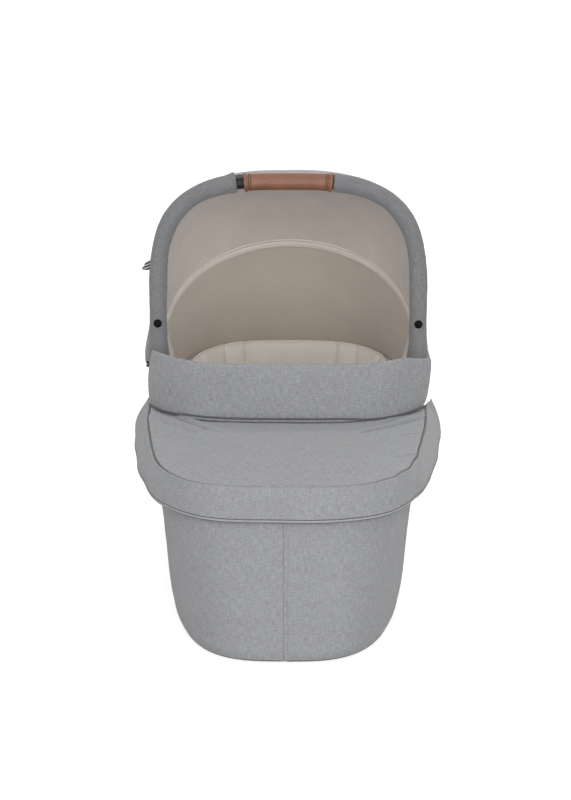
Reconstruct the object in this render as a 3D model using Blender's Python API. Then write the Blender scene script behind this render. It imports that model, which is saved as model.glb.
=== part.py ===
"""A carrycot: a soft-sided body on a flat base, a folding hood on a carrying bow, and an apron.

Metres. +X is the right side seen from the foot end, +Y points to the head end, +Z is up.
The origin is the centre of the flat underside of the base.
"""

from math import asin, atan2, cos, exp, pi, radians, sin, sqrt

import bmesh
import bpy
import numpy as np
from mathutils import Matrix, Vector

# Body: outlines are rounded rectangles (superellipses), wider at the rim than at the base
RIM_HALF_WIDTH = 0.208
RIM_HALF_LENGTH = 0.405
RIM_HEIGHT = 0.262
RIM_POWER = 3.3
BASE_SIDE_INSET = 0.047
BASE_END_INSET = 0.012
BASE_HALF_WIDTH = RIM_HALF_WIDTH - BASE_SIDE_INSET
BASE_HALF_LENGTH = RIM_HALF_LENGTH - BASE_END_INSET
BASE_POWER = 3.15
WALL_TOE_SHARE = 0.42
WALL_TOE_HEIGHT_SHARE = 0.09
WALL_FLARE_POWER = 2.4
WALL_LEVEL_SHARES = (0.0, 0.06, 0.15, 0.33, 0.55, 0.78, 1.0)
COVER_THICKNESS = 0.002
SEAT_GAP = 0.0003
OUTLINE_POINTS = 40

# Base pan
PAN_HEIGHT = 0.010
PAN_EDGE_ROUND = 0.006
PAN_GROOVE_DEPTH = 0.002
PAN_GROOVE_WIDTH = 0.012
PAN_GROOVE_PLACE_SHARES = (-0.62, -0.31, 0.31, 0.62)
PAN_GROOVE_SPAN_SHARE = 0.62

# Rim: a steel tube loop inside the top edge, under a flat trim
FRAME_RADIUS = 0.006
FRAME_GAP = 0.0006
FRAME_SIDES = 8
TRIM_WIDTH = 0.0115
TRIM_HEIGHT = 0.003

# Fold-out end struts of round wire
STRUT_RADIUS = 0.0028
STRUT_HALF_WIDTH_SHARE = 0.52
STRUT_CORNER = 0.030
STRUT_CORNER_STEPS = 6
STRUT_GAP = 0.0026
STRUT_POINTS = 25

# Padded liner round the inside, higher at the head end
LINER_INSET = 0.0190
LINER_THICKNESS = 0.013
LINER_DROP = 0.006
LINER_HEAD_RISE = 0.016
LINER_HEAD_START_SHARE = 0.72
LINER_HEAD_RAMP_SHARE = 0.2
# Its section as (inward share of the thickness, share of the height), up the back and down the front
LINER_BACK_SHARES = ((0.0, 0.0), (0.0, 0.5), (0.0, 0.92), (0.25, 1.0))
LINER_FRONT_SHARES = ((0.75, 1.0), (1.0, 0.93), (1.12, 0.5), (0.9, 0.0))
LINER_POINTS = 64
CHANNEL_PITCH = 0.056
CHANNEL_DEPTH = 0.0035
CHANNEL_WIDTH = 0.010

# Mattress on its board
BOARD_THICKNESS = 0.004
MATTRESS_GAP = 0.005
MATTRESS_HEIGHT = 0.034
MATTRESS_CROWN = 0.006
MATTRESS_PULL = 0.007
# Its sides as (share of the pull inwards, share of the height), and the rings of its crowned top
MATTRESS_SIDE_SHARES = ((1.0, 0.0), (0.3, 0.15), (0.0, 0.5), (0.3, 0.85), (1.0, 1.0))
MATTRESS_TOP_SHARES = (0.8, 0.6, 0.4, 0.2)

# Hub: rib disc, fixed plate, bow knuckle, cap and button stacked outwards on one pin
PIVOT_Y = 0.030
PIVOT_RISE = 0.035
PIVOT_Z = RIM_HEIGHT + PIVOT_RISE
HUB_RADIUS = 0.026
HUB_GAP = 0.0005
PLATE_INSET = 0.018
PLATE_INNER_X = RIM_HALF_WIDTH - PLATE_INSET
PLATE_THICKNESS = 0.006
RIB_DISC_THICKNESS = 0.005
RIB_DISC_RADIUS = 0.0208
KNUCKLE_THICKNESS = 0.0105
CAP_THICKNESS = 0.0070
CAP_ROUND = 0.002
PIN_RADIUS = 0.004
PIN_HEAD_RADIUS = 0.0075
PIN_HEAD_THICKNESS = 0.002
HUB_FLANGE_HALF_LENGTH = 0.024
HUB_FLANGE_THICKNESS = 0.0036
HUB_WEB_HALF_LENGTH = 0.018
HUB_PIN_MARGIN = 0.004
HUB_BUTTON_RADIUS = 0.009
HUB_BUTTON_THICKNESS = 0.004
HUB_BUTTON_PROUD = 0.002
HUB_BUTTON_TRAVEL = 0.0025
SPRING_RADIUS = 0.0062
SPRING_WALL = 0.0016
HUB_SIDES = 16
CAP_SIDES = 18
DISC_SIDES = 14
PIN_SIDES = 12
SPRING_SIDES = 12

# Bow: the carrying tube, in a plane that leans back on the hub
BOW_LEAN = radians(7.0)
BOW_OUTSET = 0.00295
BOW_HALF_WIDTH = PLATE_INNER_X + PLATE_THICKNESS + HUB_GAP + KNUCKLE_THICKNESS / 2 + BOW_OUTSET
BOW_REACH = 0.3162
BOW_STRAIGHT = 0.128
BOW_POWER = 3.2
BOW_TUBE_RADIUS = 0.010
BOW_TUBE_START = 0.029
BOW_POINTS = 33
BOW_SIDES = 10
BOW_STATION_SHARE = 0.3
KNUCKLE_NECK_LENGTH = 0.045
KNUCKLE_NECK_HALF_WIDTH = 0.009

# Padded sleeves and grip on the bow
SLEEVE_RADIUS = 0.0138
SLEEVE_FLARE = 0.0010
SLEEVE_START = 0.046
SLEEVE_FLARE_LENGTH = 0.050
SLEEVE_LIP = 0.0008
GRIP_HALF_LENGTH = 0.0695
GRIP_RADIUS = 0.0136
GRIP_COLLAR_RISE = 0.0016
GRIP_COLLAR_LENGTH = 0.009
# A collar as (share of its length, share of its rise), and the grip's ring nearest its middle
GRIP_COLLAR_SHARES = ((0.0, 0.3), (0.15, 1.0), (0.85, 1.0), (1.0, 0.0))
GRIP_MIDDLE_SHARE = 0.3
GRIP_GAP_LEFT = 0.0115
GRIP_GAP_RIGHT = 0.0008
STUD_RADIUS = 0.0065
STUD_THICKNESS = 0.003
STUD_REACH = 0.094
# The stud's dome as (share of the thickness, share of the radius)
STUD_SHARES = ((0.0, 0.75), (0.6, 1.0), (1.0, 0.6))
STUD_SIDES = 14

# Middle rib of the hood
RIB_LEAN = radians(60.0)
RIB_INSET = 0.0035
RIB_HALF_WIDTH = RIM_HALF_WIDTH - RIB_INSET
RIB_REACH = 0.334
RIB_STRAIGHT = 0.115
RIB_POWER = 2.0
RIB_HALF_BREADTH = 0.0035
RIB_HALF_DEPTH = 0.0024
RIB_START = 0.016
RIB_TUCK_START = 0.050
RIB_TUCK_END = 0.130
RIB_POINTS = 33

# Hood fabric: an outer sheet and a lining, in two panels each
HOOD_THICKNESS = 0.0016
HOOD_START = 0.046
HOOD_STAND_OFF = 0.0062
HOOD_BOW_STAND_OFF = 0.0116
HOOD_BOW_CLEAR = 0.0016
HOOD_RIB_GAP = 0.0004
HOOD_BULGE = 0.013
HOOD_SAG = 0.010
HOOD_RIM_LIFT = 0.0012
HOOD_RIM_INSET = 0.0035
HOOD_RIM_START = 0.056
HOOD_ACROSS = 23
HOOD_ALONG = 6
TAG_WIDTH = 0.013
TAG_HEIGHT = 0.017
TAG_THICKNESS = 0.0014
TAG_REACH = 0.185

# Apron: crowned top panel, skirt round the foot end, hem and piping
APRON_THICKNESS = 0.0035
APRON_CROWN = 0.012
APRON_CROWN_RISE_SHARE = 0.75
APRON_CROWN_RUN = 0.080
FLAP_CLEAR = 0.030
APRON_RING_SHARES = (1.0, 0.9, 0.7, 0.45, 0.2)
APRON_LIFT = 0.0004
APRON_REAR_Y = -0.006
APRON_BULGE = 0.085
APRON_BULGE_POWER = 4.0
APRON_REAR_STEPS = 16
APRON_CENTRE_SHARE = 0.53
APRON_CENTRE_Y = -RIM_HALF_LENGTH * APRON_CENTRE_SHARE
SEAM_OUTSET = 0.0050
SKIRT_THICKNESS = 0.0024
SKIRT_DROP = 0.0465
SKIRT_FLARE_SIDE = 0.0280
SKIRT_FLARE_FOOT = -0.0020
SKIRT_FLARE_POWER = 3
SKIRT_FLARE_START_SHARE = 0.86
SKIRT_FLARE_RUN_SHARE = 1.2
SKIRT_TAIL_SHARE = 0.020
SKIRT_TAIL_STEPS = 6
SKIRT_CORNER_Y = 0.036
SKIRT_CORNER_FLARE = 0.0070
SKIRT_CORNER_DROP = 0.0048
SKIRT_FOLD_DEPTH = 0.0010
SKIRT_FOLD_COUNT = 9
SKIRT_POINTS = 57
SKIRT_ROWS = 4
SKIRT_NEARBY_POINTS = 4
PIPING_RADIUS = 0.0017
PIPING_GAP = 0.0005
PIPING_SIDES = 6
SEAM_POINTS = 33
HEM_HEIGHT = 0.0042
HEM_THICKNESS = 0.0032
HEM_GAP = 0.0007
PEEL_AXIS_OUTSET = 0.004

# Wind flap: a padded collar that stands on the rear edge of the apron
FLAP_HEIGHT = 0.086
FLAP_THICKNESS = 0.013
FLAP_EDGE_THICKNESS = 0.005
FLAP_OUTSET = 0.005
FLAP_HALF_WIDTH = RIM_HALF_WIDTH + FLAP_OUTSET
FLAP_END_Y = -0.013
FLAP_LEAN = 0.004
FLAP_LIFT = 0.0040
FLAP_POINTS = 27
# Half of its section as (share of the height, share of the padding), from its foot up
FLAP_SECTION_SHARES = ((0.0, 0.5), (0.12, 0.8), (0.45, 1.0), (0.8, 0.85), (0.96, 0.45))
FLAP_PIPING_RADIUS = 0.0016

# Chassis adapter sockets under the hubs
SOCKET_HALF_LENGTH = 0.040
SOCKET_TOP_DROP = 0.026
SOCKET_SHOULDER_DROP = 0.040
SOCKET_BOTTOM_DROP = 0.082
SOCKET_TOP = RIM_HEIGHT - SOCKET_TOP_DROP
SOCKET_SHOULDER = RIM_HEIGHT - SOCKET_SHOULDER_DROP
SOCKET_BOTTOM = RIM_HEIGHT - SOCKET_BOTTOM_DROP
SOCKET_TOP_OUTSET = 0.008
SOCKET_OUTSET = 0.0165
SOCKET_TOP_OUTER_X = RIM_HALF_WIDTH + SOCKET_TOP_OUTSET
SOCKET_OUTER_X = RIM_HALF_WIDTH + SOCKET_OUTSET
SOCKET_BORE_HALF_LENGTH = 0.024
SOCKET_BORE_HALF_WIDTH = 0.006
SOCKET_BORE_DEPTH = 0.030
SOCKET_ROUND = 0.0025
RELEASE_HALF_LENGTH = 0.012
RELEASE_HALF_HEIGHT = 0.007
RELEASE_DROP = 0.062
RELEASE_Z = RIM_HEIGHT - RELEASE_DROP
RELEASE_THICKNESS = 0.0050
RELEASE_PROUD = 0.0022
RELEASE_TRAVEL = 0.0022
RELEASE_POCKET = 0.0080
RELEASE_SPRING_RADIUS = 0.0050
RELEASE_SPRING_WALL = 0.0014

CUT_OVERRUN = 0.010
DENSE = 400
BOX_FACES = ((3, 2, 1, 0), (4, 5, 6, 7), (0, 1, 5, 4), (1, 2, 6, 5), (2, 3, 7, 6), (3, 0, 4, 7))

# Colours as (red, green, blue), roughness, metallic
GREY_CLOTH = ((0.33, 0.33, 0.335), 0.9, 0.0)
LINING_CLOTH = ((0.42, 0.37, 0.33), 0.9, 0.0)
CREAM_CLOTH = ((0.62, 0.57, 0.52), 0.9, 0.0)
MATTRESS_CLOTH = ((0.66, 0.63, 0.60), 0.9, 0.0)
BROWN_LEATHER = ((0.27, 0.12, 0.075), 0.55, 0.0)
BLACK_PLASTIC = ((0.014, 0.015, 0.016), 0.45, 0.0)
DARK_PIPING = ((0.12, 0.12, 0.125), 0.8, 0.0)
TAG_CLOTH = ((0.05, 0.05, 0.05), 0.9, 0.0)
BOARD = ((0.20, 0.19, 0.18), 0.8, 0.0)
STEEL = ((0.55, 0.55, 0.56), 0.35, 1.0)


def clear_scene():
    for thing in list(bpy.data.objects):
        bpy.data.objects.remove(thing, do_unlink=True)


def material(name, look):
    colour, roughness, metallic = look
    made = bpy.data.materials.new(name)
    made.use_nodes = True
    shader = made.node_tree.nodes["Principled BSDF"]
    shader.inputs["Base Color"].default_value = (*colour, 1.0)
    shader.inputs["Roughness"].default_value = roughness
    shader.inputs["Metallic"].default_value = metallic
    return made


def solid(name, points, faces, look, smooth=True):
    """One closed mesh object with its faces pointing out and a material of its own."""
    mesh = bpy.data.meshes.new(name)
    shape = bmesh.new()
    corners = [shape.verts.new(Vector(p)) for p in points]
    for face in faces:
        shape.faces.new([corners[i] for i in face])
    bmesh.ops.recalc_face_normals(shape, faces=shape.faces)
    shape.to_mesh(mesh)
    shape.free()
    if smooth:
        mesh.shade_smooth()
        mesh.set_sharp_from_angle(angle=radians(40.0))
    made = bpy.data.objects.new(name, mesh)
    made.data.materials.append(material(name + "_finish", look))
    bpy.context.scene.collection.objects.link(made)
    return made


def helper(shape_object):
    shape_object.hide_render = True
    shape_object.display_type = "WIRE"
    return shape_object


def combine(target, tool, operation):
    step = target.modifiers.new(tool.name, "BOOLEAN")
    step.operation = operation
    step.object = helper(tool)
    return target


def bevel(target, width, segments=2):
    step = target.modifiers.new("edges", "BEVEL")
    step.width = width
    step.segments = segments
    step.limit_method = "ANGLE"
    return target


def axis_empty(name, place, parent=None):
    """An empty on a joint's axis; the pieces that turn or slide hang from it."""
    made = bpy.data.objects.new(name, None)
    made.location = place
    bpy.context.scene.collection.objects.link(made)
    if parent:
        made.parent = parent
        made.location = Vector(place) - world_place(parent)
    return made


def world_place(thing):
    place = Vector(thing.location)
    while thing.parent:
        thing = thing.parent
        place += thing.location
    return place


def hang(piece, empty):
    """Put the piece's origin at the empty without moving its shape."""
    piece.data.transform(Matrix.Translation(-world_place(empty)))
    piece.parent = empty
    return piece


def rings(stack, closed_profile):
    """Join rings of equal length: round a closed profile, or from a first cap to a last one."""
    count = len(stack[0])
    points = [p for ring in stack for p in ring]
    faces = []
    steps = len(stack) if closed_profile else len(stack) - 1
    for i in range(steps):
        a = i * count
        b = (i + 1) % len(stack) * count
        for j in range(count):
            k = (j + 1) % count
            faces.append((a + j, a + k, b + k, b + j))
    if not closed_profile:
        faces.append(tuple(range(count - 1, -1, -1)))
        last = (len(stack) - 1) * count
        faces.append(tuple(range(last, last + count)))
    return points, faces


def sheet(grid, thickness):
    """A thin closed solid on both sides of a grid of points, thickened along its normals."""
    grid = np.asarray(grid, float)
    rows, columns = grid.shape[:2]
    along = np.gradient(grid, axis=0)
    across = np.gradient(grid, axis=1)
    normal = np.cross(along, across)
    normal /= np.linalg.norm(normal, axis=2, keepdims=True)
    half = normal * thickness / 2
    points = np.concatenate([(grid + half).reshape(-1, 3), (grid - half).reshape(-1, 3)])
    under = rows * columns
    faces = []
    for i in range(rows - 1):
        for j in range(columns - 1):
            a = i * columns + j
            quad = (a, a + 1, a + columns + 1, a + columns)
            faces.append(quad)
            faces.append(tuple(under + k for k in reversed(quad)))
    edge = [j for j in range(columns)]
    edge += [i * columns + columns - 1 for i in range(1, rows)]
    edge += [(rows - 1) * columns + j for j in range(columns - 2, -1, -1)]
    edge += [i * columns for i in range(rows - 2, 0, -1)]
    for a, b in zip(edge, edge[1:] + edge[:1]):
        faces.append((b, a, under + a, under + b))
    return points.tolist(), faces


def directions(path, up, closed):
    """Unit tangent, side and up vectors at every point of a path."""
    path = np.asarray(path, float)
    if closed:
        tangent = np.roll(path, -1, axis=0) - np.roll(path, 1, axis=0)
    else:
        tangent = np.gradient(path, axis=0)
    tangent /= np.linalg.norm(tangent, axis=1, keepdims=True)
    side = np.cross(tangent, np.asarray(up, float))
    side /= np.linalg.norm(side, axis=1, keepdims=True)
    return tangent, side, np.cross(side, tangent)


def swept(path, sections, up, closed=False):
    """Sections of (side, up) offsets carried along a path."""
    path = np.asarray(path, float)
    _, side, high = directions(path, up, closed)
    stack = []
    for i, section in enumerate(sections):
        stack.append([path[i] + side[i] * u + high[i] * v for u, v in section])
    return rings(stack, closed)


def round_section(radius, sides):
    return [(radius * cos(2 * pi * k / sides), radius * sin(2 * pi * k / sides)) for k in range(sides)]


def pipe(path, radii, bore, sides, up):
    """A tube with a bore right through it, open at both ends."""
    path = np.asarray(path, float)
    _, side, high = directions(path, up, False)
    outer = []
    inner = []
    for i, radius in enumerate(radii):
        outer.append([path[i] + side[i] * u + high[i] * v for u, v in round_section(radius, sides)])
        inner.append([path[i] + side[i] * u + high[i] * v for u, v in round_section(bore, sides)])
    return rings(outer + inner[::-1], True)


def even(points, count, closed=False):
    """The same line with evenly spaced points."""
    points = np.asarray(points, float)
    if closed:
        points = np.vstack([points, points[:1]])
    steps = np.linalg.norm(np.diff(points, axis=0), axis=1)
    length = np.concatenate([[0.0], np.cumsum(steps)])
    places = np.linspace(0.0, length[-1], count, endpoint=not closed)
    return np.stack([np.interp(places, length, points[:, k]) for k in range(points.shape[1])], axis=1)


def smoothstep(value):
    value = min(max(value, 0.0), 1.0)
    return value * value * (3.0 - 2.0 * value)


def signed_power(value, power):
    return abs(value) ** power * (1.0 if value >= 0.0 else -1.0)


def rounded_outline(half_width, half_length, power, count):
    """A superellipse in plan, anticlockwise from +X, with evenly spaced points."""
    dense = []
    for k in range(DENSE):
        angle = 2 * pi * k / DENSE
        x = half_width * signed_power(cos(angle), 2 / power)
        y = half_length * signed_power(sin(angle), 2 / power)
        dense.append((x, y))
    return even(dense, count, True)


def wall_spread(height):
    """How far the wall has opened from the base, 0, to the rim, 1: a rounded toe, then a flare."""
    share = height / RIM_HEIGHT
    toe = WALL_TOE_SHARE * (1 - exp(-share / WALL_TOE_HEIGHT_SHARE))
    return toe + (1 - WALL_TOE_SHARE) * max(share, 0.0) ** WALL_FLARE_POWER


def wall_sizes(height, inset=0.0):
    spread = wall_spread(height)
    half_width = BASE_HALF_WIDTH + (RIM_HALF_WIDTH - BASE_HALF_WIDTH) * spread - inset
    half_length = BASE_HALF_LENGTH + (RIM_HALF_LENGTH - BASE_HALF_LENGTH) * spread - inset
    power = BASE_POWER + (RIM_POWER - BASE_POWER) * spread
    return half_width, half_length, power


def wall_ring(height, inset=0.0, count=OUTLINE_POINTS, lift=0.0):
    """The body's outline at a height, moved inwards, and raised by a lift that leaves it as it is."""
    return [(x, y, height + lift) for x, y in rounded_outline(*wall_sizes(height, inset), count)]


def box(name, low, high, look, round_edge=0.0):
    x0, y0, z0 = low
    x1, y1, z1 = high
    points = [(x, y, z) for z in (z0, z1) for x, y in ((x0, y0), (x1, y0), (x1, y1), (x0, y1))]
    made = solid(name, points, BOX_FACES, look, False)
    return bevel(made, round_edge) if round_edge else made


def turned_x(name, profile, place, sides, look, bore=0.0):
    """A piece turned about an X axis: profile is a run of (x, radius); a bore makes it a ring."""
    y, z = place
    stack = []
    for x, radius in profile:
        stack.append([(x, y + a, z + b) for a, b in round_section(radius, sides)])
    if bore:
        for x in (profile[-1][0], profile[0][0]):
            stack.append([(x, y + a, z + b) for a, b in round_section(bore, sides)])
    points, faces = rings(stack, bool(bore))
    return solid(name, points, faces, look)


def arch(half_width, reach, straight, power, start, count):
    """An arch in the hood's polar plane: (x, distance from the pivot) from right to left."""
    line = [(half_width, start)]
    for k in range(DENSE + 1):
        angle = pi * k / DENSE
        x = half_width * signed_power(cos(angle), 2 / power)
        line.append((x, straight + (reach - straight) * abs(sin(angle)) ** (2 / power)))
    line.append((-half_width, start))
    return even(line, count)


def polar_point(x, distance, lean):
    """A point at a distance from the pivot, in the plane that leans back by an angle."""
    return (x, PIVOT_Y + distance * sin(lean), PIVOT_Z + distance * cos(lean))


def plane_normal(lean):
    return (0.0, cos(lean), -sin(lean))


def build_body():
    pan_rings = [
        wall_ring(0.0, PAN_EDGE_ROUND),
        wall_ring(PAN_EDGE_ROUND * (1 - cos(pi / 4)), PAN_EDGE_ROUND * (1 - sin(pi / 4))),
        wall_ring(PAN_EDGE_ROUND),
        wall_ring(PAN_HEIGHT),
    ]
    pan = solid("base_pan", *rings(pan_rings, False), BLACK_PLASTIC)
    for number, share in enumerate(PAN_GROOVE_PLACE_SHARES):
        middle = share * BASE_HALF_LENGTH
        half = PAN_GROOVE_SPAN_SHARE * BASE_HALF_WIDTH
        low = (-half, middle - PAN_GROOVE_WIDTH / 2, -CUT_OVERRUN)
        high = (half, middle + PAN_GROOVE_WIDTH / 2, PAN_GROOVE_DEPTH)
        combine(pan, box("pan_groove_%d" % number, low, high, BLACK_PLASTIC), "DIFFERENCE")

    foot = PAN_HEIGHT + SEAT_GAP
    heights = [foot + (RIM_HEIGHT - foot) * share for share in WALL_LEVEL_SHARES]
    outer = [wall_ring(height) for height in heights]
    inner = [wall_ring(height, COVER_THICKNESS) for height in heights]
    solid("body_cover", *rings(outer + inner[::-1], True), GREY_CLOTH)


def frame_line(count):
    inset = COVER_THICKNESS + FRAME_GAP + FRAME_RADIUS
    height = frame_height()
    half_width, half_length, power = wall_sizes(height, inset)
    return [(x, y, height) for x, y in rounded_outline(half_width, half_length, power, count)]


def frame_height():
    return RIM_HEIGHT - HUB_FLANGE_THICKNESS - 2 * SEAT_GAP - FRAME_RADIUS


def build_rim():
    line = frame_line(OUTLINE_POINTS)
    sections = [round_section(FRAME_RADIUS, FRAME_SIDES)] * len(line)
    solid("rim_frame", *swept(line, sections, (0, 0, 1), True), STEEL)
    low = RIM_HEIGHT + SEAT_GAP
    high = low + TRIM_HEIGHT
    lift_low = low - RIM_HEIGHT
    lift_high = high - RIM_HEIGHT
    stack = [
        wall_ring(RIM_HEIGHT, 0.0, OUTLINE_POINTS, lift_low),
        wall_ring(RIM_HEIGHT, 0.0, OUTLINE_POINTS, lift_high),
        wall_ring(RIM_HEIGHT, TRIM_WIDTH, OUTLINE_POINTS, lift_high),
        wall_ring(RIM_HEIGHT, TRIM_WIDTH, OUTLINE_POINTS, lift_low),
    ]
    solid("rim_trim", *rings(stack, True), DARK_PIPING)


def rim_top():
    return RIM_HEIGHT + SEAT_GAP + TRIM_HEIGHT


def build_struts():
    """A wire hoop inside each end wall, from the base pan up to the rim tube."""
    for name, end in (("end_strut_head", 1), ("end_strut_foot", -1)):
        low = PAN_HEIGHT + SEAT_GAP + STRUT_RADIUS
        high = frame_height() - FRAME_RADIUS - SEAT_GAP - STRUT_RADIUS
        half = STRUT_HALF_WIDTH_SHARE * BASE_HALF_WIDTH
        corner = STRUT_CORNER
        bends = []
        for k in range(STRUT_CORNER_STEPS + 1):
            angle = pi / 2 * k / STRUT_CORNER_STEPS
            bends.append((half - corner + corner * cos(angle), high - corner + corner * sin(angle)))
        right = [(half, low), (half, (low + high) / 2)] + bends
        line = []
        for x, z in right + [(-x, z) for x, z in reversed(right)]:
            line.append((x, end * strut_reach(x, z), z))
        line = even(line, STRUT_POINTS)
        sections = [round_section(STRUT_RADIUS, PIPING_SIDES)] * len(line)
        solid(name, *swept(line, sections, (0, 1, 0)), STEEL)


def strut_reach(x, height):
    """How far from the middle the inside of the end wall is, at a place across and a height."""
    inset = COVER_THICKNESS + STRUT_GAP + STRUT_RADIUS
    half_width, half_length, power = wall_sizes(height, inset)
    return half_length * (1 - abs(x / half_width) ** power) ** (1 / power)


def channel(distance):
    """Depth share of a sewn channel at a distance along a seamed edge."""
    away = abs((distance / CHANNEL_PITCH + 0.5) % 1.0 - 0.5) * CHANNEL_PITCH
    return max(0.0, 1.0 - away / (CHANNEL_WIDTH / 2))


def build_liner():
    """A padded ring round the inside, with sewn channels across its head end."""
    low = PAN_HEIGHT + SEAT_GAP
    side_top = RIM_HEIGHT - LINER_DROP
    stack = []
    for depth_share, height_share in LINER_BACK_SHARES + LINER_FRONT_SHARES:
        ring = []
        height = low + (side_top - low) * height_share
        half_width, half_length, power = wall_sizes(height, LINER_INSET)
        front = (depth_share, height_share) in LINER_FRONT_SHARES
        for x, y in rounded_outline(half_width, half_length, power, LINER_POINTS):
            head = smoothstep((y / RIM_HALF_LENGTH - LINER_HEAD_START_SHARE) / LINER_HEAD_RAMP_SHARE)
            depth = LINER_THICKNESS * depth_share
            if front:
                depth -= CHANNEL_DEPTH * head * channel(x)
            ring.append((
                x * (1 - depth / half_width),
                y * (1 - depth / half_length),
                height + LINER_HEAD_RISE * head * height_share ** 2,
            ))
        stack.append(ring)
    solid("liner", *rings(stack, True), CREAM_CLOTH)


def build_mattress():
    """A board on the base pan, and a mattress with rounded sides and a crowned top on the board."""
    belly = LINER_THICKNESS * max(depth for depth, _ in LINER_FRONT_SHARES)
    inset = LINER_INSET + belly + MATTRESS_GAP
    low = PAN_HEIGHT + SEAT_GAP
    top = low + BOARD_THICKNESS
    board = [wall_ring(PAN_HEIGHT, inset, OUTLINE_POINTS, z - PAN_HEIGHT) for z in (low, top)]
    solid("mattress_board", *rings(board, False), BOARD)

    half_width, half_length, power = wall_sizes(PAN_HEIGHT, inset)
    base = top + SEAT_GAP
    stack = []
    for pull, height_share in MATTRESS_SIDE_SHARES:
        inward = MATTRESS_PULL * pull
        outline = rounded_outline(half_width - inward, half_length - inward, power, OUTLINE_POINTS)
        stack.append([(x, y, base + MATTRESS_HEIGHT * height_share) for x, y in outline])
    for share in MATTRESS_TOP_SHARES:
        outline = rounded_outline(half_width * share, half_length * share, power, OUTLINE_POINTS)
        height = base + MATTRESS_HEIGHT + MATTRESS_CROWN * (1 - share ** 2)
        stack.append([(x, y, height) for x, y in outline])
    solid("mattress", *rings(stack, False), MATTRESS_CLOTH)


def side_name(side):
    return "right" if side > 0 else "left"


def knuckle_inner_x():
    return PLATE_INNER_X + PLATE_THICKNESS + HUB_GAP


def cap_inner_x():
    return knuckle_inner_x() + KNUCKLE_THICKNESS + HUB_GAP


def rib_disc_outer_x():
    return PLATE_INNER_X - HUB_GAP


def build_hub(side):
    name = side_name(side)
    place = (PIVOT_Y, PIVOT_Z)
    plate_outer = PLATE_INNER_X + PLATE_THICKNESS
    plate = turned_x(
        "hub_plate_" + name,
        [(side * PLATE_INNER_X, HUB_RADIUS), (side * plate_outer, HUB_RADIUS)],
        place, HUB_SIDES, BLACK_PLASTIC, PIN_RADIUS + SEAT_GAP,
    )
    flange_low = frame_height() + FRAME_RADIUS + SEAT_GAP
    low = (PLATE_INNER_X, PIVOT_Y - HUB_WEB_HALF_LENGTH, flange_low)
    high = (plate_outer, PIVOT_Y + HUB_WEB_HALF_LENGTH, PIVOT_Z - PIN_RADIUS - HUB_PIN_MARGIN)
    combine(plate, box("hub_web_" + name, *side_corners(low, high, side), BLACK_PLASTIC), "UNION")
    flange_outer = wall_sizes(flange_low)[0] - COVER_THICKNESS - 2 * SEAT_GAP
    low = (PLATE_INNER_X, PIVOT_Y - HUB_FLANGE_HALF_LENGTH, flange_low)
    high = (flange_outer, PIVOT_Y + HUB_FLANGE_HALF_LENGTH, flange_low + HUB_FLANGE_THICKNESS)
    combine(plate, box("hub_flange_" + name, *side_corners(low, high, side), BLACK_PLASTIC), "UNION")

    rib_outer = rib_disc_outer_x()
    head_outer = rib_outer - RIB_DISC_THICKNESS - HUB_GAP
    pin_end = cap_inner_x() - SEAT_GAP
    turned_x(
        "hub_pin_" + name,
        [(side * (head_outer - PIN_HEAD_THICKNESS), PIN_HEAD_RADIUS), (side * head_outer, PIN_HEAD_RADIUS),
         (side * head_outer, PIN_RADIUS), (side * pin_end, PIN_RADIUS)],
        place, PIN_SIDES, STEEL,
    )

    cap_inner = cap_inner_x()
    cap_outer = cap_inner + CAP_THICKNESS
    turned_x(
        "hub_cap_" + name,
        [(side * cap_inner, HUB_RADIUS), (side * (cap_outer - CAP_ROUND), HUB_RADIUS),
         (side * cap_outer, HUB_RADIUS - CAP_ROUND)],
        place, CAP_SIDES, BLACK_PLASTIC, HUB_BUTTON_RADIUS + SEAT_GAP,
    )
    button_outer = cap_outer + HUB_BUTTON_PROUD
    button_inner = button_outer - HUB_BUTTON_THICKNESS
    button = turned_x(
        "hub_button_" + name,
        [(side * button_inner, HUB_BUTTON_RADIUS), (side * button_outer, HUB_BUTTON_RADIUS)],
        place, DISC_SIDES, BLACK_PLASTIC,
    )
    hang(button, axis_empty("hub_button_axis_" + name, (side * button_inner, PIVOT_Y, PIVOT_Z)))
    spring_outer = button_inner - HUB_BUTTON_TRAVEL - SEAT_GAP
    turned_x(
        "hub_spring_" + name,
        [(side * (cap_inner + SEAT_GAP), SPRING_RADIUS), (side * spring_outer, SPRING_RADIUS)],
        place, SPRING_SIDES, STEEL, SPRING_RADIUS - SPRING_WALL,
    )


def pin_bore(name, inner, outer, side):
    """A cutter for the hub pin's hole, from one face of a disc through the other."""
    radius = PIN_RADIUS + SEAT_GAP
    profile = [(inner - side * SEAT_GAP, radius), (outer + side * SEAT_GAP, radius)]
    return turned_x(name, profile, (PIVOT_Y, PIVOT_Z), PIN_SIDES, BLACK_PLASTIC)


def bow_line(count):
    """Centre line of the bow's tube from the right hub over the top to the left hub."""
    line = arch(BOW_HALF_WIDTH, BOW_REACH, BOW_STRAIGHT, BOW_POWER, BOW_TUBE_START, count)
    return [polar_point(x, distance, BOW_LEAN) for x, distance in line]


def bow_half_width_at(distance):
    """How far out the bow's centre line is at a distance from the pivot."""
    share = max(0.0, (distance - BOW_STRAIGHT) / (BOW_REACH - BOW_STRAIGHT))
    return BOW_HALF_WIDTH * (1 - share ** BOW_POWER) ** (1 / BOW_POWER)


def bow_share_at_x(x):
    """How far along the bow's centre line, as a share, its top crosses a place across."""
    line = np.asarray(bow_line(DENSE * 2))
    steps = np.linalg.norm(np.diff(line, axis=0), axis=1)
    length = np.concatenate([[0.0], np.cumsum(steps)])
    top = slice(len(line) // 4, len(line) * 3 // 4)
    return float(np.interp(-x, -line[top, 0], length[top] / length[-1]))


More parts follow.
